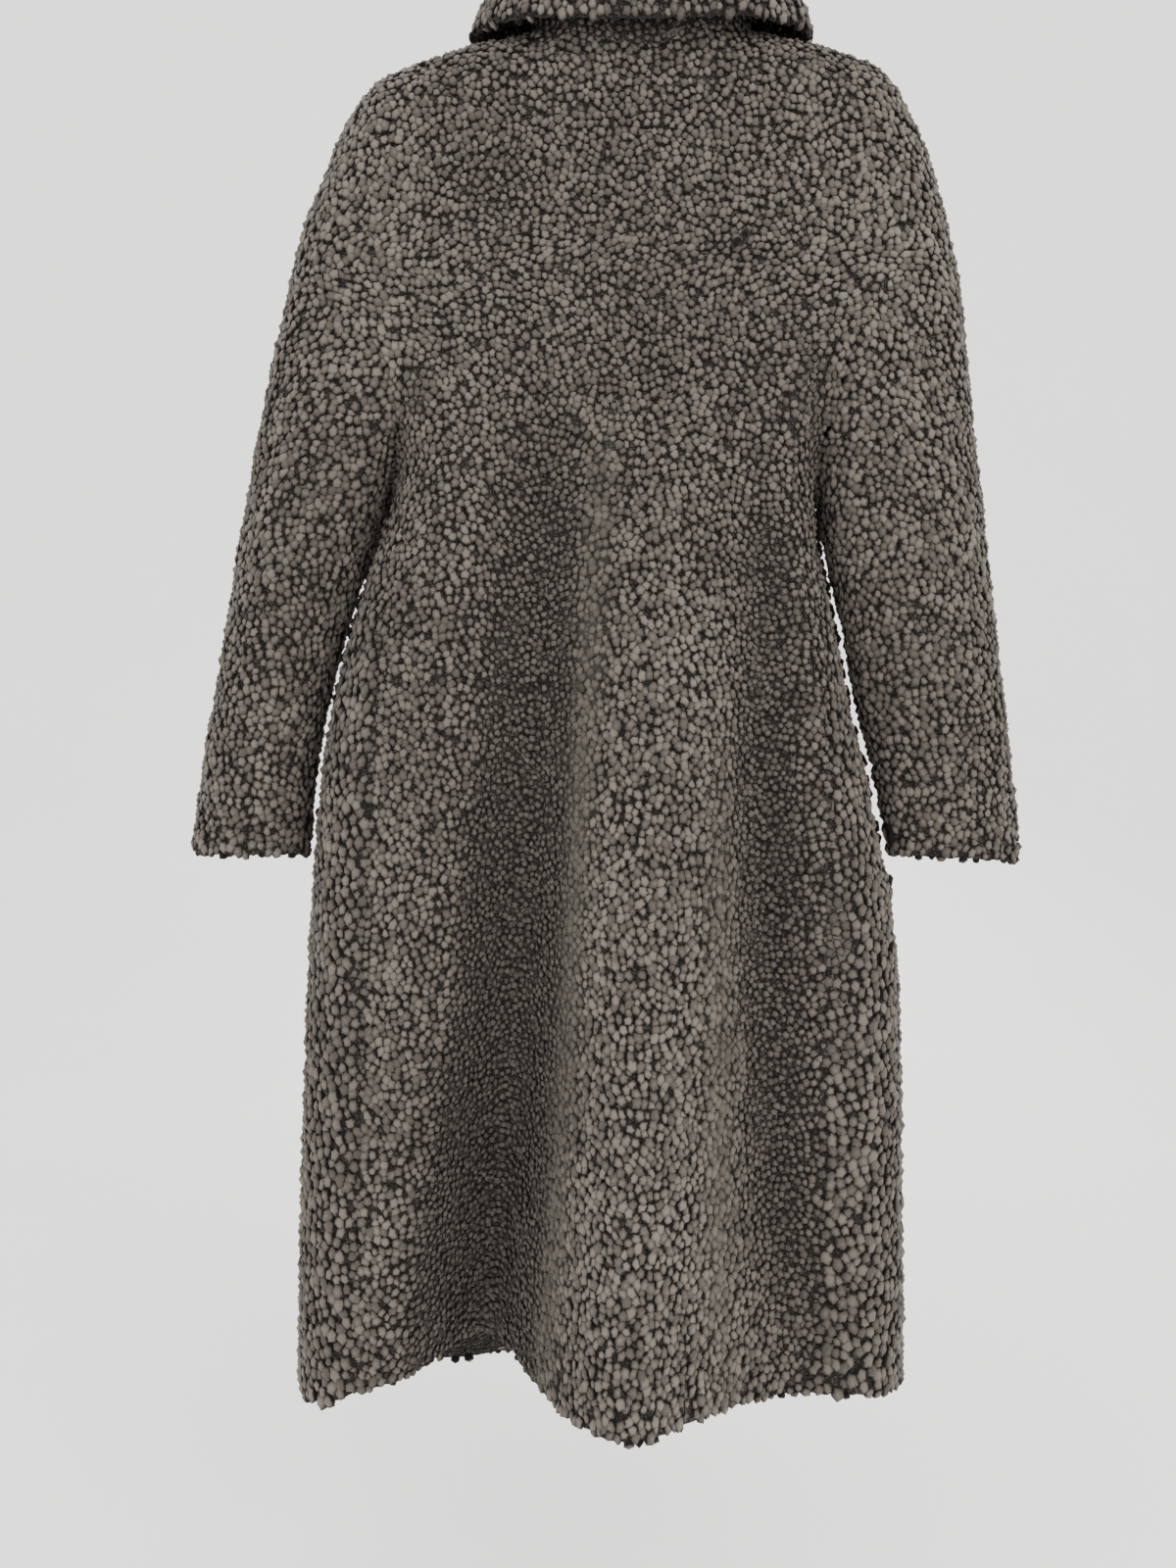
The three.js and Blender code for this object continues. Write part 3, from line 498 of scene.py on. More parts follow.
def collar_grid(step):
    """Up from the neckline, over the fold, and down the fall to its edge."""
    turns = np.linspace(-178, 178, 241)
    aside = np.radians(turns)
    x = NECK_HALF_WIDTH * np.sin(aside)
    is_front = np.abs(turns) > 90
    drop = np.where(is_front, FRONT_NECK_DROP, BACK_NECK_DROP)
    z = NECK_SIDE_Z + NECK_TILT * x - drop * np.cos(aside) ** 2
    y = np.where(is_front, front_y(x, z), back_y(x, z))
    y -= np.where(is_front & (x < 0), LAP_UNDER * smooth((x + FRONT_LAP + LAP_FADE) / LAP_FADE), 0)
    neck = np.stack([x, y, z], -1)
    out = unit(np.stack([COLLAR_SQUARENESS * np.sin(aside), -np.cos(aside), 0 * x], -1))
    read = {name: between(COLLAR, "turn", np.abs(turns), name) for name in COLLAR}
    edge_x = np.sign(turns) * read["x"]
    edge = np.stack([edge_x, read["y"], read["z"] + NECK_TILT * edge_x], -1)
    up = np.array([0, 0, 1.0])
    foot = neck - out * (WALL + SEAM_GAP) + up * (STAND_FOOT - FOOT_LAP)
    stand_top = foot.copy()
    stand_top[:, 2] = neck[:, 2] + np.maximum(STAND_FOOT + LEAST_STAND, read["stand"])
    share = np.linspace(0, 1, 20)[None, :, None]
    stand = mix(foot[:, None], stand_top[:, None], share)
    angle = math.pi * share
    middle = (stand_top + out * COLLAR_FOLD_RADIUS)[:, None]
    fold = middle + COLLAR_FOLD_RADIUS * (up * np.sin(angle) - out[:, None] * np.cos(angle))
    bulge = unit(out + up)[:, None] * COLLAR_BULGE
    length = np.linalg.norm(edge - fold[:, -1], axis=1)[:, None, None]
    tucked = share * (1 - EDGE_TUCK / length)
    fall = mix(fold[:, -1:], edge[:, None], tucked) + bulge * np.sin(math.pi * tucked)
    dense = np.concatenate([stand, fold[:, 1:], fall[:, 1:]], axis=1)
    run = run_along(dense, 0).mean(axis=1)
    columns = int(round(run[-1] / step))
    at = np.linspace(0, run[-1], columns + 1)
    profile = np.stack([
        np.stack([np.interp(at, run, dense[:, j, k]) for k in range(3)], -1)
        for j in range(dense.shape[1])
    ], axis=1)
    down = run_along(profile, 1)
    rows = int(round(down[:, -1].max() / step))
    points = np.stack([
        np.stack([
            np.interp(np.linspace(0, d[-1], rows + 1), d, p[:, k]) for k in range(3)
        ], -1)
        for d, p in zip(down, profile)
    ])
    place = np.empty(points.shape[:2] + (2,))
    place[..., 0] = at[:, None]
    place[..., 1] = np.linspace(0, 1, rows + 1)[None, :] * down[:, -1:]
    return points, place


def normals_of(points):
    across = np.gradient(points, axis=0)
    down = np.gradient(points, axis=1)
    return unit(np.cross(down, across))


def panel_grids(steps):
    """Points, outward directions and places on the cloth, for every panel at one spacing."""
    grids = {}
    grids["back"] = even_grid(
        back_surface, back_top, lambda s: back_bottom(s) - EDGE_TUCK, steps["back"], -UNDERARM_Z,
        DOWNWARDS, anchor=(0, -1))
    for name, half in (("front_left", LEFT), ("front_right", RIGHT)):
        surface, top, bottom = front_parts(half)
        grids[name] = even_grid(
            surface, top, lambda s, b=bottom: b(s) - EDGE_TUCK, steps["front"], -UNDERARM_Z,
            DOWNWARDS, anchor=(100 * half["sign"], 1), flip=half is LEFT)
    for name, half in (("sleeve_left", LEFT), ("sleeve_right", RIGHT)):
        grids[name] = even_grid(
            sleeve_surface(half), lambda s: 0 * s, lambda s: 1 - EDGE_TUCK / SLEEVE_LENGTH + 0 * s,
            steps["sleeve"], 0, SLEEVE_AXIS[name], flip=half is RIGHT)
    grids["collar"] = collar_grid(steps["collar"])
    return {name: (points, normals_of(points), place) for name, (points, place) in grids.items()}


# Which borders of a panel meet another panel: first and last column, first row
SEAMS = {
    "back": ("first", "last", "top"),
    "front_left": ("last", "top"),
    "front_right": ("first", "top"),
    "sleeve_left": ("first", "last", "top"),
    "sleeve_right": ("first", "last", "top"),
    "collar": ("top",),
}
BORDER = {
    "first": (slice(0, 1), slice(None)),
    "last": (slice(-1, None), slice(None)),
    "top": (slice(None), slice(0, 1)),
}


# Points of two panels this near meet at a seam
MEETING = 3.0
MEETING_FADE = 3.2


def share_normals(grids, reach):
    """Where two panels meet, both lean the same way at the seam, fading into each panel."""
    borders = []
    for name, seams in SEAMS.items():
        points, normals, _ = grids[name]
        for border in seams:
            here = BORDER[border]
            flat = [values[here].reshape(-1, 3) for values in (points, normals)]
            borders.append((name, border, *flat))
    owners = [(k, i) for k, entry in enumerate(borders) for i in range(len(entry[2]))]
    tree = KDTree(len(owners))
    for index, (k, i) in enumerate(owners):
        tree.insert(borders[k][2][i], index)
    tree.balance()
    for k, (name, border, points, normals) in enumerate(borders):
        met = normals.copy()
        for i, point in enumerate(points):
            for _, index, distance in tree.find_range(point, MEETING):
                other, j = owners[index]
                if other != k:
                    met[i] += borders[other][3][j] * (1 - distance / MEETING_FADE)
        change = unit(met) - normals
        own = grids[name][1]
        depth = min(reach, own.shape[0] - 1, own.shape[1] - 1)
        for step in range(depth):
            fade = 1 - smooth(step / depth)
            if border == "first":
                own[step] += change * fade
            elif border == "last":
                own[-1 - step] += change * fade
            else:
                own[:, step] += change * fade
    for name, (points, normals, place) in grids.items():
        grids[name] = (points, unit(normals), place)


# Borders of the pile, whose arrays go by column and row: a seam's foot sinks, and a free
# edge has a rim in small steps and then rows of pile up inside
SKIRT_SINK = 0.5
SKIRT_REACH = 0.8
RIM_RADIUS = 0.8
RIM_STEPS = 6
RIM_STEP = 2.1
EDGE_ROWS = 4
INSIDE_ROWS = 6
INSIDE_REACH = 0.5


def turned(pile):
    return {name: np.swapaxes(values, 0, 1) for name, values in pile.items()}


def flipped(pile):
    return {name: values[:, ::-1] for name, values in pile.items()}


def added(pile, rows):
    stacked = {name: np.stack([row[name] for row in rows], axis=1) for name in pile}
    return {name: np.concatenate([pile[name], stacked[name]], axis=1) for name in pile}


def skirt_end(pile):
    """The last row meets a seam: it goes down to the roots there."""
    last = {name: values[:, -1] for name, values in pile.items()}
    foot = dict(last, root=last["root"] - SKIRT_SINK * last["out"], reach=0 * last["reach"])
    pile = dict(pile, reach=pile["reach"].copy())
    pile["reach"][:, -1] *= SKIRT_REACH
    return added(pile, [foot])


def wrap_end(pile, step):
    """The last row is a free edge: the pile goes round it and a little way up inside."""
    last = {name: values[:, -1] for name, values in pile.items()}
    out = last["out"]
    along = last["root"] - pile["root"][:, -EDGE_ROWS]
    along = unit(along - out * np.sum(along * out, axis=-1, keepdims=True))
    rows = []
    for k in range(1, RIM_STEPS + 1):
        angle = math.pi * k / RIM_STEPS
        lean = out * math.cos(angle) + along * math.sin(angle)
        rows.append(dict(
            last,
            root=last["root"] - RIM_RADIUS * out + RIM_RADIUS * lean,
            out=lean,
            reach=last["reach"] * mix(1, INSIDE_REACH, k / RIM_STEPS),
            place=last["place"] + np.array([0, RIM_STEP * k]),
        ))
    for k in range(1, INSIDE_ROWS + 1):
        rows.append(dict(
            last,
            root=last["root"] - 2 * RIM_RADIUS * out - along * step * k,
            out=-out,
            reach=last["reach"] * (INSIDE_REACH if k < INSIDE_ROWS else 0),
            place=last["place"] + np.array([0, RIM_STEP * RIM_STEPS + step * k]),
        ))
    return added(pile, rows)


CREASE_BEND = 0.5
CREASE_WAVES = 2.2


def creases_at(rows, x, z):
    """How far the cloth goes in at each place, in millimetres."""
    total = 0 * x
    for k in range(len(rows["x"])):
        slant = math.radians(rows["turn"][k])
        dx, dz = x - rows["x"][k], z - rows["z"][k]
        along = (dx * math.cos(slant) + dz * math.sin(slant)) / rows["length"][k]
        across = (dz * math.cos(slant) - dx * math.sin(slant)) / rows["width"][k]
        bend = CREASE_BEND * np.sin(CREASE_WAVES * along + k)
        total += rows["depth"][k] * np.exp(-(along ** 2) - (across - bend) ** 2)
    return total


# Loft is how full the curls are, from 0 in valleys and creases to 1 on ridges and sides. Low loft
# also darkens the curls' colour: painted shade in the valleys and creases and under the collar, and
# darker along the side seams
BACK_LOFT = 0.6
VALLEY_DEPTH = 14
RIDGE_LOFT = 0.4
RIDGE_HEIGHT = 20
SIDE_START = 160
SIDE_FADE = 60
PLAIN_LOFT = 0.8
CREASE_LOFT = 0.35
SEAM_LOSS = 0.8
SEAM_FADE = 40


def pile_of(name, grid, step, offset):
    """The pile's root surface over one panel, with how its curls stand and lie."""
    points, normals, place = grid
    x, z = points[..., 0], points[..., 2]
    if name == "back":
        fold = fold_at(BACK_FOLDS, x, z)
        # Valleys of the folds get low loft: smaller curls, and painted shade in their colour
        loft_and_shade = BACK_LOFT - BACK_LOFT * smooth(fold / VALLEY_DEPTH)
        loft_and_shade += RIDGE_LOFT * smooth(-fold / RIDGE_HEIGHT)
        loft_and_shade += RIDGE_LOFT * smooth((np.abs(x) - SIDE_START) / SIDE_FADE)
        # The flat flanks: flatter curls, and a colour painted lighter there, a painted highlight
        flat_and_lit = np.max([
            between(rows, "z", z, "share")
            * np.exp(-((x - between(rows, "z", z, "x")) / between(rows, "z", z, "reach")) ** 2)
            for rows in FLAT_AND_LIT_FLANKS.values()
        ], axis=0)
    else:
        loft_and_shade = np.full(x.shape, PLAIN_LOFT)
        flat_and_lit = 0 * x
    crease = creases_at(CREASES[name], x, z)
    # Creases lower the loft: smaller curls, and painted shade in their colour
    loft_and_shade = np.clip(loft_and_shade - CREASE_LOFT * crease, 0, 1)
    if "sleeve" not in name and name != "collar":
        seams = SEAMS[name]
        below = smooth((UNDERARM_Z - z) / SEAM_FADE)
        for columns, seam in ((slice(0, 2), "first"), (slice(-2, None), "last")):
            if seam in seams:
                loft_and_shade[columns] *= 1 - SEAM_LOSS * below[columns]
    pile = {
        "root": points - (PILE_ROOT + crease)[..., None] * normals,
        "out": normals,
        "down": unit(np.gradient(points, axis=1)),
        "reach": np.ones(x.shape),
        "place": place + np.array([offset, 0]),
        "loft_and_shade": loft_and_shade,
        "flat_and_lit": flat_and_lit,
    }
    return bordered(pile, SEAMS[name], step)


def bordered(pile, seams, step):
    pile = flipped(skirt_end(flipped(pile)))
    pile = wrap_end(pile, step)
    pile = turned(pile)
    pile = skirt_end(pile) if "last" in seams else wrap_end(pile, step)
    pile = flipped(pile)
    pile = skirt_end(pile) if "first" in seams else wrap_end(pile, step)
    pile = flipped(pile)
    return turned(pile)


UNDER_TUCK = 0.6
UNDER_REACH = 0.55
# Low loft under the collar: smaller curls, painted darker as shade under the fall
UNDER_LOFT = 0.2


def under_pile_of(grid, offset):
    """Pile on the collar's other face, on the stand's outside and the fall's underside."""
    points, normals, place = grid
    count = points.shape[:2]
    pile = {
        "root": points - (WALL - UNDER_TUCK) * normals,
        "out": -normals,
        "down": unit(np.gradient(points, axis=1)),
        "reach": np.full(count, UNDER_REACH),
        "place": place + np.array([offset, 0]),
        "loft_and_shade": np.full(count, UNDER_LOFT),
        "flat_and_lit": np.zeros(count),
    }
    pile = {name: values[::-1] for name, values in pile.items()}
    for _ in range(2):
        pile = flipped(skirt_end(flipped(skirt_end(pile))))
        pile = turned(pile)
    return pile


def new_object(name, mesh):
    piece = bpy.data.objects.new(name, mesh)
    bpy.context.scene.collection.objects.link(piece)
    return piece


def grid_mesh(name, points):
    columns, rows = points.shape[:2]
    index = np.arange(columns * rows).reshape(columns, rows)
    quads = np.stack([index[:-1, :-1], index[:-1, 1:], index[1:, 1:], index[1:, :-1]], -1)
    mesh = bpy.data.meshes.new(name)
    mesh.from_pydata((points.reshape(-1, 3) / 1000).tolist(), [], quads.reshape(-1, 4).tolist())
    return mesh


def put_attribute(mesh, name, kind, values):
    attribute = mesh.attributes.new(name, kind, "POINT")
    key = "vector" if kind == "FLOAT_VECTOR" else "value"
    attribute.data.foreach_set(key, np.ascontiguousarray(values, np.float32).ravel())


# Node graphs are written as expressions on output sockets
class Wire:
    def __init__(self, graph, socket):
        self.graph = graph
        self.socket = socket

    def __add__(self, other):
        return self.graph.math("ADD", self, other)

    def __radd__(self, other):
        return self.graph.math("ADD", other, self)

    def __sub__(self, other):
        return self.graph.math("SUBTRACT", self, other)

    def __rsub__(self, other):
        return self.graph.math("SUBTRACT", other, self)

    def __mul__(self, other):
        return self.graph.math("MULTIPLY", self, other)

    def __rmul__(self, other):
        return self.graph.math("MULTIPLY", other, self)

    def __truediv__(self, other):
        return self.graph.math("DIVIDE", self, other)


class Graph:
    def __init__(self, tree):
        self.tree = tree

    def node(self, kind, settings=None, values=None, output=0):
        made = self.tree.nodes.new(kind)
        for name, value in (settings or {}).items():
            setattr(made, name, value)
        for name, value in (values or {}).items():
            if isinstance(value, Wire):
                self.tree.links.new(value.socket, made.inputs[name])
            else:
                made.inputs[name].default_value = value
        return Wire(self, made.outputs[output]) if len(made.outputs) else made

    def math(self, operation, *values):
        return self.node("ShaderNodeMath", {"operation": operation}, dict(enumerate(values)))

    def vector(self, operation, *values):
        return self.node("ShaderNodeVectorMath", {"operation": operation}, dict(enumerate(values)))

    def ramp(self, value, low, high, start=0, end=1):
        values = {0: value, 1: low, 2: high, 3: start, 4: end}
        return self.node("ShaderNodeMapRange", {"interpolation_type": "SMOOTHSTEP"}, values)

    def blend(self, share, first, second):
        return first + (second - first) * share

    def colour(self, share, first, second, how="MIX"):
        settings = {"data_type": "RGBA", "blend_type": how}
        return self.node("ShaderNodeMix", settings, {0: share, 6: first, 7: second}, output=2)

    def noise(self, place, scale, detail=1.0, output=0):
        values = {"Vector": place, "Scale": scale, "Detail": detail}
        return self.node("ShaderNodeTexNoise", {"noise_dimensions": "3D"}, values, output)

    def cells(self, place, scale, feature, output=0):
        settings = {"voronoi_dimensions": "2D", "feature": feature}
        values = {"Vector": place, "Scale": scale}
        return self.node("ShaderNodeTexVoronoi", settings, values, output)


# Numbers of the trees: noise and cells by scale, and how much of each
NAP_CELLS = 250
NAP_GAP = 0.36
SWAY_SCALE = 62
SWAY = (0.006, 0.006, 0)
SWELL_SCALE = 21
LUMP_SCALE = 230
MIDDLE = (0.5, 0.5, 0.5)
# Most curls for each square metre, and the least reach of pile that carries one
CURL_DENSITY = 90000.0
LEAST_REACH = 0.12
# A curl's size where the pile is low and full, and at its foot and full reach
SIZE_BY_LOFT = (0.8, 1.0)
SIZE_BY_REACH = (0.6, 1.0)
HEIGHT_BY_BRUSH = (0.82, 0.45)
LOW_LENGTH = 0.95
# A curl's least size, and how much chance adds to it
SIZE_CHANCE = (0.8, 0.36)
WIDTH_CHANCE = (0.86, 0.2)
LENGTH_CHANCE = (1.12, 0.35)
LEAN_SPREAD = 1.4
SEEDS = {"points": 5, "size": 11, "lean": 12, "width": 13, "length": 14, "tone": 15}


def nap(graph, place):
    """Height of the short pile between the curls, from 0 in a gap to 1."""
    sway = graph.vector("SUBTRACT", graph.noise(place, SWAY_SCALE, 2, output=1), MIDDLE)
    bent = graph.vector("ADD", place, graph.vector("MULTIPLY", sway, SWAY))
    near = graph.cells(bent, NAP_CELLS, "DISTANCE_TO_EDGE") / NAP_GAP
    near = graph.math("MINIMUM", near, 1)
    own = graph.node("ShaderNodeSeparateXYZ", None, {0: graph.cells(bent, NAP_CELLS, "F1", 1)})
    return (1 - (1 - near) * (1 - near)) * (0.5 + 0.5 * own)


def new_tree(name, inputs):
    """An empty tree for a modifier, and a wire and an identifier for each of its inputs."""
    tree = bpy.data.node_groups.new(name, "GeometryNodeTree")
    tree.is_modifier = True
    kinds = {"Geometry": "NodeSocketGeometry", "Material": "NodeSocketMaterial"}
    names = {}
    for label in inputs:
        socket = tree.interface.new_socket(
            name=label, in_out="INPUT", socket_type=kinds.get(label, "NodeSocketFloat"))
        names[label] = socket.identifier
    tree.interface.new_socket(name="Geometry", in_out="OUTPUT", socket_type="NodeSocketGeometry")
    graph = Graph(tree)
    given = tree.nodes.new("NodeGroupInput")
    return graph, {label: Wire(graph, given.outputs[label]) for label in inputs}, names


def finish_tree(graph, geometry, material):
    whole = graph.node("GeometryNodeRealizeInstances", None, {"Geometry": geometry})
    dressed = graph.node("GeometryNodeSetMaterial", None, {"Geometry": whole, "Material": material})
    out = graph.tree.nodes.new("NodeGroupOutput")
    graph.tree.links.new(dressed.socket, out.inputs["Geometry"])


def read_attribute(graph, name, kind="FLOAT"):
    return graph.node("GeometryNodeInputNamedAttribute", {"data_type": kind}, {"Name": name})


def scaled(graph, vector, by):
    settings = {"operation": "SCALE"}
    return graph.node("ShaderNodeVectorMath", settings, {0: vector, "Scale": by})


def moved(graph, geometry, offset):
    values = {"Geometry": geometry, "Offset": offset}
    return graph.node("GeometryNodeSetPosition", None, values)


def stored(graph, geometry, domain, name, value):
    settings = {"data_type": "FLOAT", "domain": domain}
    values = {"Geometry": geometry, "Name": name, "Value": value}
    return graph.node("GeometryNodeStoreNamedAttribute", settings, values)


def height_of(graph):
    place = graph.node("GeometryNodeInputPosition")
    return graph.node("ShaderNodeSeparateXYZ", None, {0: place}, 2)


def swell_at(graph, place, unevenness):
    """Slow rises and dips of the whole pile."""
    return (graph.noise(place, SWELL_SCALE, 2) - 0.5) * unevenness


def random_share(graph, draw):
    values = {2: 0.0, 3: 1.0, 8: SEEDS[draw]}
    return graph.node("FunctionNodeRandomValue", {"data_type": "FLOAT"}, values, 1)


def chance(graph, draw, least_and_more):
    least, more = least_and_more
    return least + more * random_share(graph, draw)


def nap_tree():
    """Short uneven pile that fills the gaps between the curls."""
    inputs = ("Geometry", "Pile length", "Unevenness", "Material")
    graph, wire, names = new_tree("short_nap", inputs)
    place = read_attribute(graph, "pile_place", "FLOAT_VECTOR")
    reach = nap(graph, place) * wire["Pile length"] + swell_at(graph, place, wire["Unevenness"])
    reach = reach * read_attribute(graph, "pile_reach")
    offset = scaled(graph, read_attribute(graph, "pile_out", "FLOAT_VECTOR"), reach)
    finish_tree(graph, moved(graph, wire["Geometry"], offset), wire["Material"])
    return graph.tree, names


def curl_tree():
    """Woolly curls set close together on the root surface, longest down the cloth."""
    graph, wire, names = new_tree("woolly_curls", (
        "Geometry", "Spacing", "Half width", "Lift", "Lumpiness", "Unevenness", "Above", "Below",
        "Material"))
    height = height_of(graph)
    tall = read_attribute(graph, "pile_reach")
    kept = graph.math("GREATER_THAN", height, wire["Above"])
    kept = kept * graph.math("LESS_THAN", height, wire["Below"])
    kept = kept * graph.math("GREATER_THAN", tall, LEAST_REACH)
    points = graph.node("GeometryNodeDistributePointsOnFaces", {"distribute_method": "POISSON"}, {
        "Mesh": wire["Geometry"], "Selection": kept, "Distance Min": wire["Spacing"],
        "Density Max": CURL_DENSITY, "Density Factor": 1.0, "Seed": SEEDS["points"]})
    out = read_attribute(graph, "pile_out", "FLOAT_VECTOR")
    down = read_attribute(graph, "pile_down", "FLOAT_VECTOR")
    loft_and_shade = read_attribute(graph, "pile_loft_and_shade")
    flat_and_lit = read_attribute(graph, "pile_flat_and_lit")
    place = read_attribute(graph, "pile_place", "FLOAT_VECTOR")
    fullness = graph.blend(loft_and_shade, *SIZE_BY_LOFT) * chance(graph, "size", SIZE_CHANCE)
    fullness = fullness * graph.blend(tall, *SIZE_BY_REACH)
    aside = graph.vector("CROSS_PRODUCT", out, down)
    leaning = random_share(graph, "lean") * LEAN_SPREAD - LEAN_SPREAD / 2
    lean = graph.vector("ADD", down, scaled(graph, aside, leaning))
    turn = graph.node("FunctionNodeAxesToRotation", {"primary_axis": "Z", "secondary_axis": "Y"}, {
        "Primary Axis": out, "Secondary Axis": lean})
    half = wire["Half width"] * fullness
    size = graph.node("ShaderNodeCombineXYZ", None, {
        0: half * chance(graph, "width", WIDTH_CHANCE),
        1: half * graph.blend(loft_and_shade, LOW_LENGTH, chance(graph, "length", LENGTH_CHANCE)),
        2: half * graph.blend(flat_and_lit, *HEIGHT_BY_BRUSH)})
    rise = wire["Lift"] * fullness + swell_at(graph, place, wire["Unevenness"])
    raised = moved(graph, points, scaled(graph, out, rise))
    ball = graph.node("GeometryNodeMeshIcoSphere", None, {"Radius": 1.0, "Subdivisions": 1})
    ball = stored(graph, ball, "POINT", "curl_height", height_of(graph) * 0.5 + 0.5)
    curls = graph.node("GeometryNodeInstanceOnPoints", None, {
        "Points": raised, "Instance": ball, "Rotation": turn, "Scale": size})
    curls = stored(graph, curls, "INSTANCE", "curl_tone", random_share(graph, "tone"))
    curls = graph.node("GeometryNodeRealizeInstances", None, {"Geometry": curls})
    lumps = graph.noise(graph.node("GeometryNodeInputPosition"), LUMP_SCALE, 1, output=1)
    lumps = scaled(graph, graph.vector("SUBTRACT", lumps, MIDDLE), wire["Lumpiness"])
    finish_tree(graph, moved(graph, curls, lumps), wire["Material"])
    return graph.tree, names


def applied(piece):
    """Swaps a piece's mesh for the one that its modifiers make, and drops the modifiers."""
    graph = bpy.context.evaluated_depsgraph_get()
    made = bpy.data.meshes.new_from_object(
        piece.evaluated_get(graph), preserve_all_data_layers=True, depsgraph=graph)
    piece.modifiers.clear()
    piece.data = made
    made.name = piece.name
    return piece


class ShaderGraph(Graph):
    """A material's nodes, round its principled shader."""

    def __init__(self, name, values):
        self.material = bpy.data.materials.new(name)
        self.material.use_nodes = True
        super().__init__(self.material.node_tree)
        self.shader = self.tree.nodes["Principled BSDF"]
        for key, value in values.items():
            self.shader.inputs[key].default_value = value

    def object_place(self):
        return self.node("ShaderNodeTexCoord", output=3)

    def attribute(self, name, output=2):
        return self.node("ShaderNodeAttribute", {"attribute_name": name}, output=output)

    def stretched(self, place, by):
        return self.vector("MULTIPLY", place, by)

    def wave(self, settings, values):
        texture = self.node("ShaderNodeTexWave", settings, values)
        return self.node("ShaderNodeSeparateXYZ", None, {0: texture})

    def bump(self, strength, distance, height):
        values = {"Strength": strength, "Distance": distance, "Height": height}
        return self.node("ShaderNodeBump", None, values)

    def finish(self, wires):
        for name, wire in wires.items():
            self.tree.links.new(wire.socket, self.shader.inputs[name])
        return self.material


# Colours: the fleece from foot to tip, its near-black foot painted shade between the curls; a tone
# painted lighter on the flat flanks, a painted highlight; the nap's tips, painted dark as shade;
# then the dark, the pale and the odd tone of the rest
PAINTED_GAP_SHADE = (0.003, 0.0025, 0.002, 1)
BODY = (0.077, 0.067, 0.057, 1)
TIP = (0.132, 0.116, 0.099, 1)
LIT_FLANK_TONE = (0.076, 0.070, 0.057, 1)
NAP_TIP_SHADED = (0.045, 0.039, 0.034, 1)
KNIT = ((0.055, 0.048, 0.042, 1), (0.125, 0.11, 0.097, 1))
KNIT_WORN = (0.15, 0.135, 0.12, 1)
BEECH = ((0.52, 0.32, 0.16, 1), (0.70, 0.48, 0.27, 1))
BEECH_FLECK = (0.33, 0.18, 0.08, 1)
STEEL = ((0.60, 0.61, 0.62, 1), (0.78, 0.79, 0.80, 1))
STEEL_SPOT = (0.42, 0.40, 0.38, 1)
PALE_FLOOR = ((0.93, 0.925, 0.92, 1), (0.96, 0.955, 0.95, 1))
FLEECE = {
    "Roughness": 0.95,
    "Specular IOR Level": 0.2,
    "Sheen Weight": 0.12,
    "Sheen Roughness": 0.5,
    "Sheen Tint": (0.9, 0.82, 0.74, 1),
}


def nap_material():
    """Short pile between the curls, its colour painted shade: near-black gaps and dull dark brown
    tips, painted lighter on the flat flanks.
    """
    graph = ShaderGraph("fleece_nap", FLEECE)
    place = graph.attribute("pile_place", output=1)
    height = nap(graph, place)
    fibres = graph.noise(place, 1400, 2)
    depth = graph.ramp(height + (fibres - 0.5) * 0.3, 0.25, 1.0)
    # Gaps painted near black and nap tips dark brown: painted shade between the curls
    tone = graph.colour(depth, PAINTED_GAP_SHADE, NAP_TIP_SHADED)
    # The flat flanks painted lighter: a painted highlight
    tone = graph.colour(graph.attribute("pile_flat_and_lit") * 0.8, tone, LIT_FLANK_TONE)
    bump = graph.bump(0.8, 0.003, height + fibres * 0.2)
    return graph.finish({"Base Color": tone, "Normal": bump})


def curl_material():
    """Woolly curls: near black at the foot as painted shade between them, pale and greyish at the
    tip, each of its own tone, painted darker in valleys and creases and lighter on the flat flanks.
    """
    graph = ShaderGraph("fleece_curls", FLEECE)
    place = graph.object_place()
    own = graph.attribute("curl_tone")
    flat_and_lit = graph.attribute("pile_flat_and_lit")
    loft_and_shade = graph.attribute("pile_loft_and_shade")
    fibres = graph.noise(place, 1300, 2)
    lobes = graph.noise(place, 420, 2)
    height = graph.attribute("curl_height") + (lobes - 0.5) * 0.16
    # The curl's foot is painted near black: painted shade in the gaps between curls
    depth = graph.ramp(height, 0.705, 0.82)
    tone = graph.colour(depth, PAINTED_GAP_SHADE, BODY)
    tip = graph.ramp(height + (own - 0.5) * 0.2 + (fibres - 0.5) * 0.2, 0.78, 1.0)
    # Fewer pale tips where the loft is low: painted shade in valleys and creases
    tone = graph.colour(tip * graph.blend(loft_and_shade, 0.45, 1.0), tone, TIP)
    # Painted highlight: the flat flanks painted lighter and smoother
    tone = graph.colour(flat_and_lit * 0.85, tone, LIT_FLANK_TONE)
    patch = graph.ramp(graph.noise(place, 9, 2), 0.3, 0.7, 0.9, 1.1)
    # Random tone for each curl and patch, with painted shade where the loft is low
    tone_and_painted_shade = patch * (0.86 + 0.28 * own) * graph.blend(loft_and_shade, 0.8, 1.0)
    grey = graph.node("ShaderNodeCombineColor", None, {0: tone_and_painted_shade, 1: tone_and_painted_shade, 2: tone_and_painted_shade})
    tone = graph.colour(1.0, tone, grey, how="MULTIPLY")
    bump = graph.bump(0.7, 0.0022, lobes + fibres * 0.35)
    return graph.finish({"Base Color": tone, "Normal": bump})


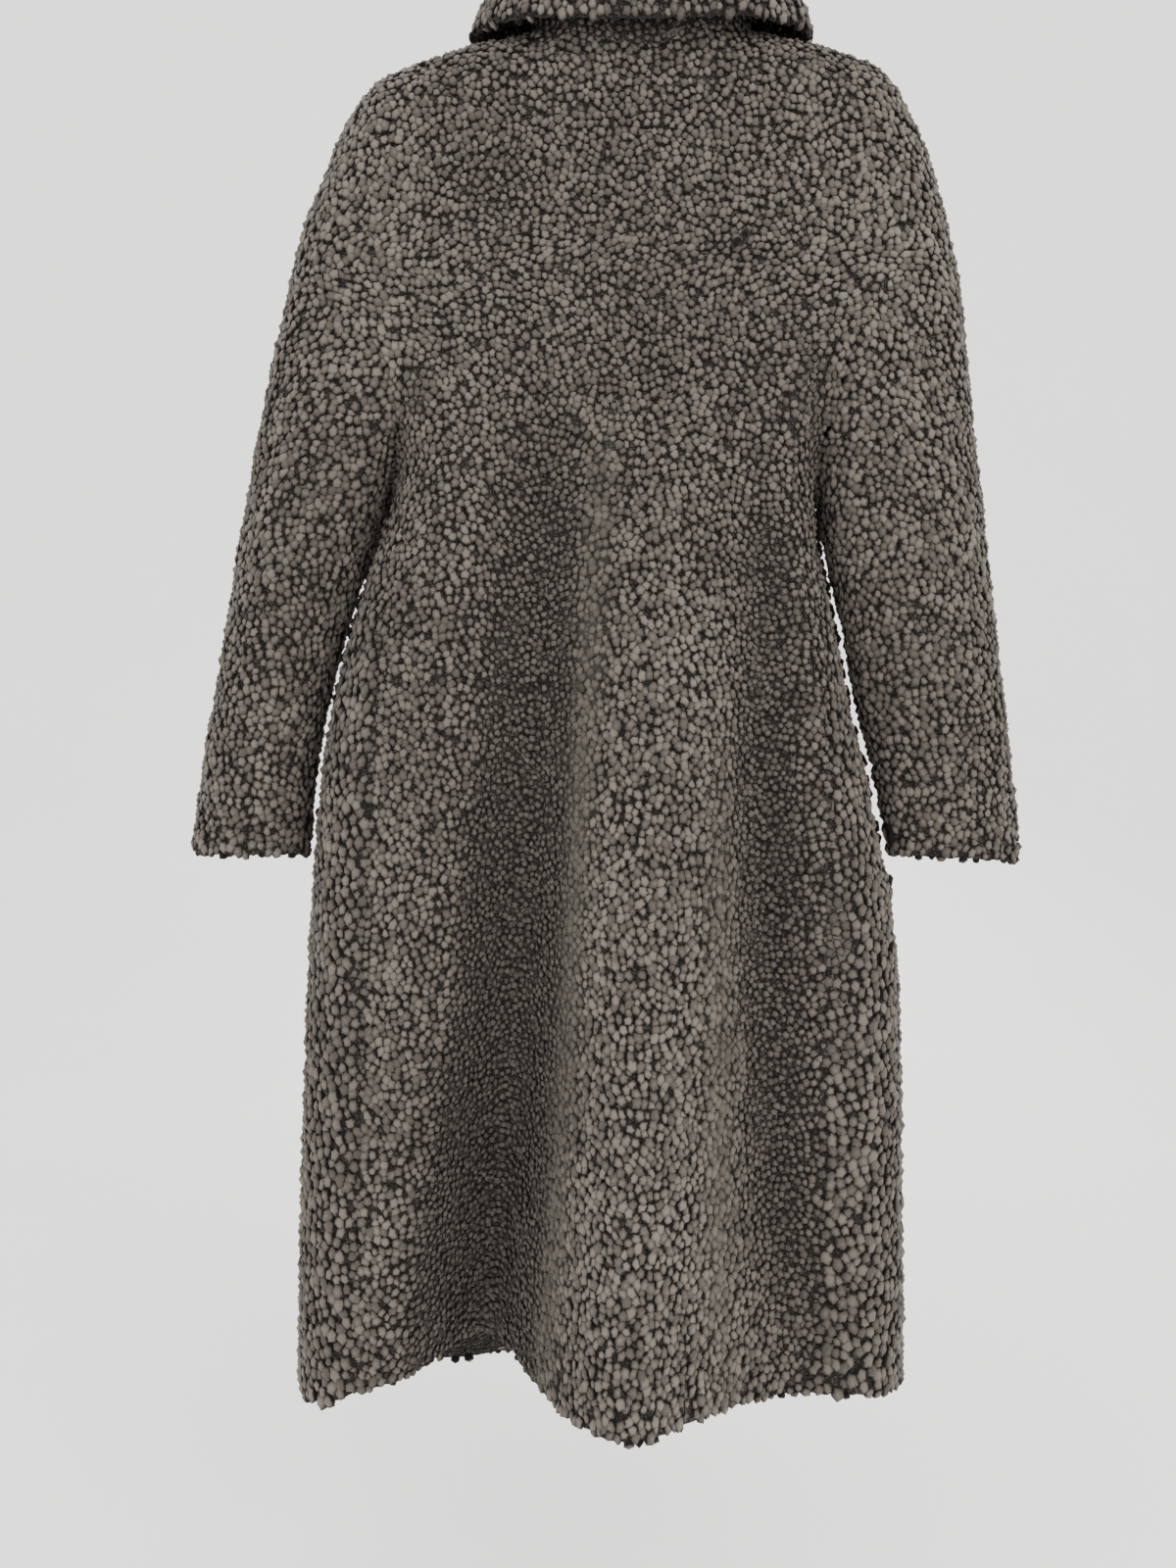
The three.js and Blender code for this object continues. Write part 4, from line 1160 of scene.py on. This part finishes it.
def backing_material():
    """Plain knitted backing: fine wales with small loops, greyish brown."""
    graph = ShaderGraph("knitted_backing", {"Roughness": 0.9, "Sheen Weight": 0.15})
    place = graph.attribute("pile_place", output=1)
    lines = []
    for direction, scale, distortion in (("X", 190, 1.2), ("Y", 260, 1.5)):
        lines.append(graph.wave({"wave_type": "BANDS", "bands_direction": direction}, {
            "Vector": place, "Scale": scale, "Distortion": distortion, "Detail": 1,
            "Detail Scale": 3}))
    wales, loops = lines
    knit = wales * 0.6 + loops * 0.4
    worn = graph.noise(place, 14, 3)
    tone = graph.colour(worn * 0.35, graph.colour(knit, *KNIT), KNIT_WORN)
    return graph.finish({"Base Color": tone, "Normal": graph.bump(0.4, 0.0006, knit)})


def wood_material():
    """Varnished beech: long grain along the hanger, with short darker flecks."""
    graph = ShaderGraph("hanger_beech", {
        "Roughness": 0.42, "Coat Weight": 0.25, "Coat Roughness": 0.25})
    place = graph.object_place()
    grain = graph.noise(graph.stretched(place, (7, 60, 60)), 3.2, 4)
    rings = graph.wave({"wave_type": "RINGS", "rings_direction": "X"}, {
        "Vector": graph.stretched(place, (2.5, 40, 40)), "Scale": 1.2, "Distortion": 5,
        "Detail": 3})
    flecks = graph.noise(graph.stretched(place, (60, 900, 900)), 1.0, 1)
    flecks = graph.ramp(flecks, 0.62, 0.72)
    share = grain * 0.6 + rings * 0.4
    tone = graph.colour(flecks * 0.5, graph.colour(share, *BEECH), BEECH_FLECK)
    return graph.finish({
        "Base Color": tone,
        "Roughness": 0.36 + grain * 0.2,
        "Normal": graph.bump(0.25, 0.0003, share),
    })


def steel_material():
    """Drawn steel wire: fine lines round it and a few dull spots."""
    graph = ShaderGraph("hook_wire", {"Metallic": 1.0, "Roughness": 0.28})
    place = graph.object_place()
    lines = graph.noise(graph.stretched(place, (500, 2500, 500)), 1.0, 2)
    spots = graph.ramp(graph.noise(place, 160, 3), 0.55, 0.7)
    tone = graph.colour(spots * 0.4, graph.colour(lines, *STEEL), STEEL_SPOT)
    return graph.finish({"Base Color": tone, "Roughness": 0.2 + lines * 0.14 + spots * 0.2})


short_fleece = nap_material()
curly_fleece = curl_material()
backing = backing_material()


def shell_mesh(name, points, normals, place):
    """A thin closed layer of cloth under the pile."""
    columns, rows = points.shape[:2]
    count = columns * rows
    outer = (points - CLOTH_OUT * normals).reshape(-1, 3)
    inner = (points - CLOTH_IN * normals).reshape(-1, 3)
    index = np.arange(count).reshape(columns, rows)
    a, b, c, d = index[:-1, :-1], index[:-1, 1:], index[1:, 1:], index[1:, :-1]
    faces = np.stack([a, b, c, d], -1).reshape(-1, 4).tolist()
    faces += (np.stack([d, c, b, a], -1).reshape(-1, 4) + count).tolist()
    around = np.concatenate([index[:, 0], index[-1, 1:], index[-2::-1, -1], index[0, -2:0:-1]])
    for here, after in zip(around, np.roll(around, -1)):
        faces.append([int(here), int(after), int(after) + count, int(here) + count])
    mesh = bpy.data.meshes.new(name)
    mesh.from_pydata((np.concatenate([outer, inner]) / 1000).tolist(), [], faces)
    both = np.concatenate([place.reshape(-1, 2)] * 2) / 1000
    put_attribute(mesh, "pile_place", "FLOAT_VECTOR", np.column_stack([both, 0 * both[:, 0]]))
    mesh.materials.append(backing)
    return mesh


# Places on the cloth differ from panel to panel, and seams are shared over these many rows
PANEL_APART = 1300
UNDER_APART = 700
NAP_SEAM_ROWS = 5
CLOTH_SEAM_ROWS = 2
nap_nodes, nap_inputs = nap_tree()
curl_nodes, curl_inputs = curl_tree()
fine_grids = panel_grids(NAP_STEP)
share_normals(fine_grids, NAP_SEAM_ROWS)
cloth_grids = panel_grids(CLOTH_STEP)
share_normals(cloth_grids, CLOTH_SEAM_ROWS)

# Heights between which each of a panel's pieces of curls lies, in metres
WHOLE = ((-2.0, 1.0),)
HALVES = {"back": ((-0.70, 1.0), (-2.0, -0.70))}


def pile_mesh(name, pile):
    mesh = grid_mesh(name, pile["root"])
    flat = pile["place"].reshape(-1, 2) / 1000
    put_attribute(mesh, "pile_place", "FLOAT_VECTOR", np.column_stack([flat, 0 * flat[:, 0]]))
    put_attribute(mesh, "pile_out", "FLOAT_VECTOR", pile["out"])
    put_attribute(mesh, "pile_down", "FLOAT_VECTOR", pile["down"])
    for key in ("reach", "loft_and_shade", "flat_and_lit"):
        put_attribute(mesh, "pile_" + key, "FLOAT", pile[key])
    return mesh


def grown(name, pile, nodes, inputs, values, spent):
    """A piece whose mesh a tree makes from the pile's root surface."""
    piece = new_object(name, pile_mesh(name, pile))
    modifier = piece.modifiers.new("pile", "NODES")
    modifier.node_group = nodes
    for label, value in values.items():
        modifier[inputs[label]] = value
    applied(piece)
    piece.data.shade_smooth()
    for key in spent:
        if key in piece.data.attributes:
            piece.data.attributes.remove(piece.data.attributes[key])
    return piece


def fleece_of(name, kind, pile, unevenness):
    """The short nap of one panel and, in one piece or two, its curls."""
    pieces = [grown(name + "_pile", pile, nap_nodes, nap_inputs, {
        "Pile length": NAP_LENGTH / 1000, "Unevenness": unevenness, "Material": short_fleece,
    }, ("pile_out", "pile_down", "pile_reach", "pile_loft_and_shade"))]
    for part, (above, below) in enumerate(HALVES.get(name, WHOLE)):
        pieces.append(grown("%s_curls_%d" % (name, part + 1), pile, curl_nodes, curl_inputs, {
            "Spacing": CURL_SPACING[kind] / 1000, "Half width": CURL_HALF_WIDTH[kind] / 1000,
            "Lift": CURL_LIFT, "Lumpiness": CURL_LUMPS, "Unevenness": unevenness,
            "Above": above, "Below": below, "Material": curly_fleece,
        }, ("pile_out", "pile_down", "pile_reach", "pile_place")))
    return pieces


for number, name in enumerate(fine_grids):
    kind = name.split("_")[0]
    pile = pile_of(name, fine_grids[name], NAP_STEP[kind], PANEL_APART * number)
    pieces = fleece_of(name, kind, pile, PILE_SWELL)
    if name == "collar":
        under = under_pile_of(fine_grids[name], PANEL_APART * number + UNDER_APART)
        pieces += fleece_of("collar_under", kind, under, 0.0)
    shell = new_object(name + "_cloth", shell_mesh(name + "_cloth", *cloth_grids[name]))
    shell.data.shade_smooth()
    for piece in pieces + [shell]:
        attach(piece, "root")
    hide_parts(name)

for node, material in (("hanger_body", wood_material()), ("hanger_hook", steel_material())):
    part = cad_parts[node]
    part.data.materials.clear()
    part.data.materials.append(material)


# Pale floor, soft light from both sides of the camera, and a pale surround
def floor_material():
    graph = ShaderGraph("pale_floor", {"Roughness": 0.8})
    tone = graph.colour(graph.noise(graph.object_place(), 3, 2), *PALE_FLOOR)
    return graph.finish({"Base Color": tone})


FLOOR_Z = -1.55
FLOOR_FRONT = -6.0
FLOOR_HALF_WIDTH = 7
SWEEP_TOP = 5.0
SWEEP_START = 1.6
SWEEP_RADIUS = 1.8
angles = np.linspace(0, math.pi / 2, 17)
sweep = [(FLOOR_FRONT, FLOOR_Z)]
sweep += [
    (SWEEP_START + SWEEP_RADIUS * math.sin(a), FLOOR_Z + SWEEP_RADIUS * (1 - math.cos(a)))
    for a in angles
]
sweep.append((SWEEP_START + SWEEP_RADIUS, SWEEP_TOP))
corners = [(x, y, z) for y, z in sweep for x in (-FLOOR_HALF_WIDTH, FLOOR_HALF_WIDTH)]
faces = [(2 * k, 2 * k + 1, 2 * k + 3, 2 * k + 2) for k in range(len(sweep) - 1)]
floor_mesh = bpy.data.meshes.new("floor")
floor_mesh.from_pydata(corners, [], faces)
floor_mesh.materials.append(floor_material())
floor = new_object("floor", floor_mesh)
floor_mesh.shade_smooth()

SURROUND_COLOUR = (0.93, 0.92, 0.91, 1)
SURROUND_STRENGTH = 2.1
world = bpy.data.worlds.new("surround")
bpy.context.scene.world = world
world.use_nodes = True
surround = world.node_tree.nodes["Background"].inputs
surround["Color"].default_value = SURROUND_COLOUR
surround["Strength"].default_value = SURROUND_STRENGTH


def soft_light(name, place, target, size, power, colour):
    lamp = bpy.data.lights.new(name, "AREA")
    lamp.shape = "RECTANGLE"
    lamp.size, lamp.size_y = size
    lamp.energy = power
    lamp.color = colour
    light = new_object(name, lamp)
    light.location = place
    light.rotation_euler = (Vector(target) - Vector(place)).to_track_quat("-Z", "Y").to_euler()


soft_light("key", place=(1.7, -2.0, 0.6), target=(0, 0, -0.6), size=(1.6, 1.6), power=38,
           colour=(1.0, 0.98, 0.95))
soft_light("fill", place=(-2.2, -1.6, -0.2), target=(0, 0, -0.8), size=(1.6, 2.0), power=16,
           colour=(0.96, 0.98, 1.0))
soft_light("front", place=(0.6, 2.6, 0.6), target=(0, 0, -0.7), size=(1.8, 1.8), power=38,
           colour=(1.0, 0.99, 0.97))

camera_data = bpy.data.cameras.new("camera")
camera_data.lens = CAMERA_LENS
camera_data.sensor_width = CAMERA_SENSOR
camera = new_object("camera", camera_data)
camera.location = CAMERA_PLACE
camera.rotation_mode = "XYZ"
camera.rotation_euler = (math.pi / 2, math.radians(CAMERA_ROLL), 0)
bpy.context.scene.camera = camera
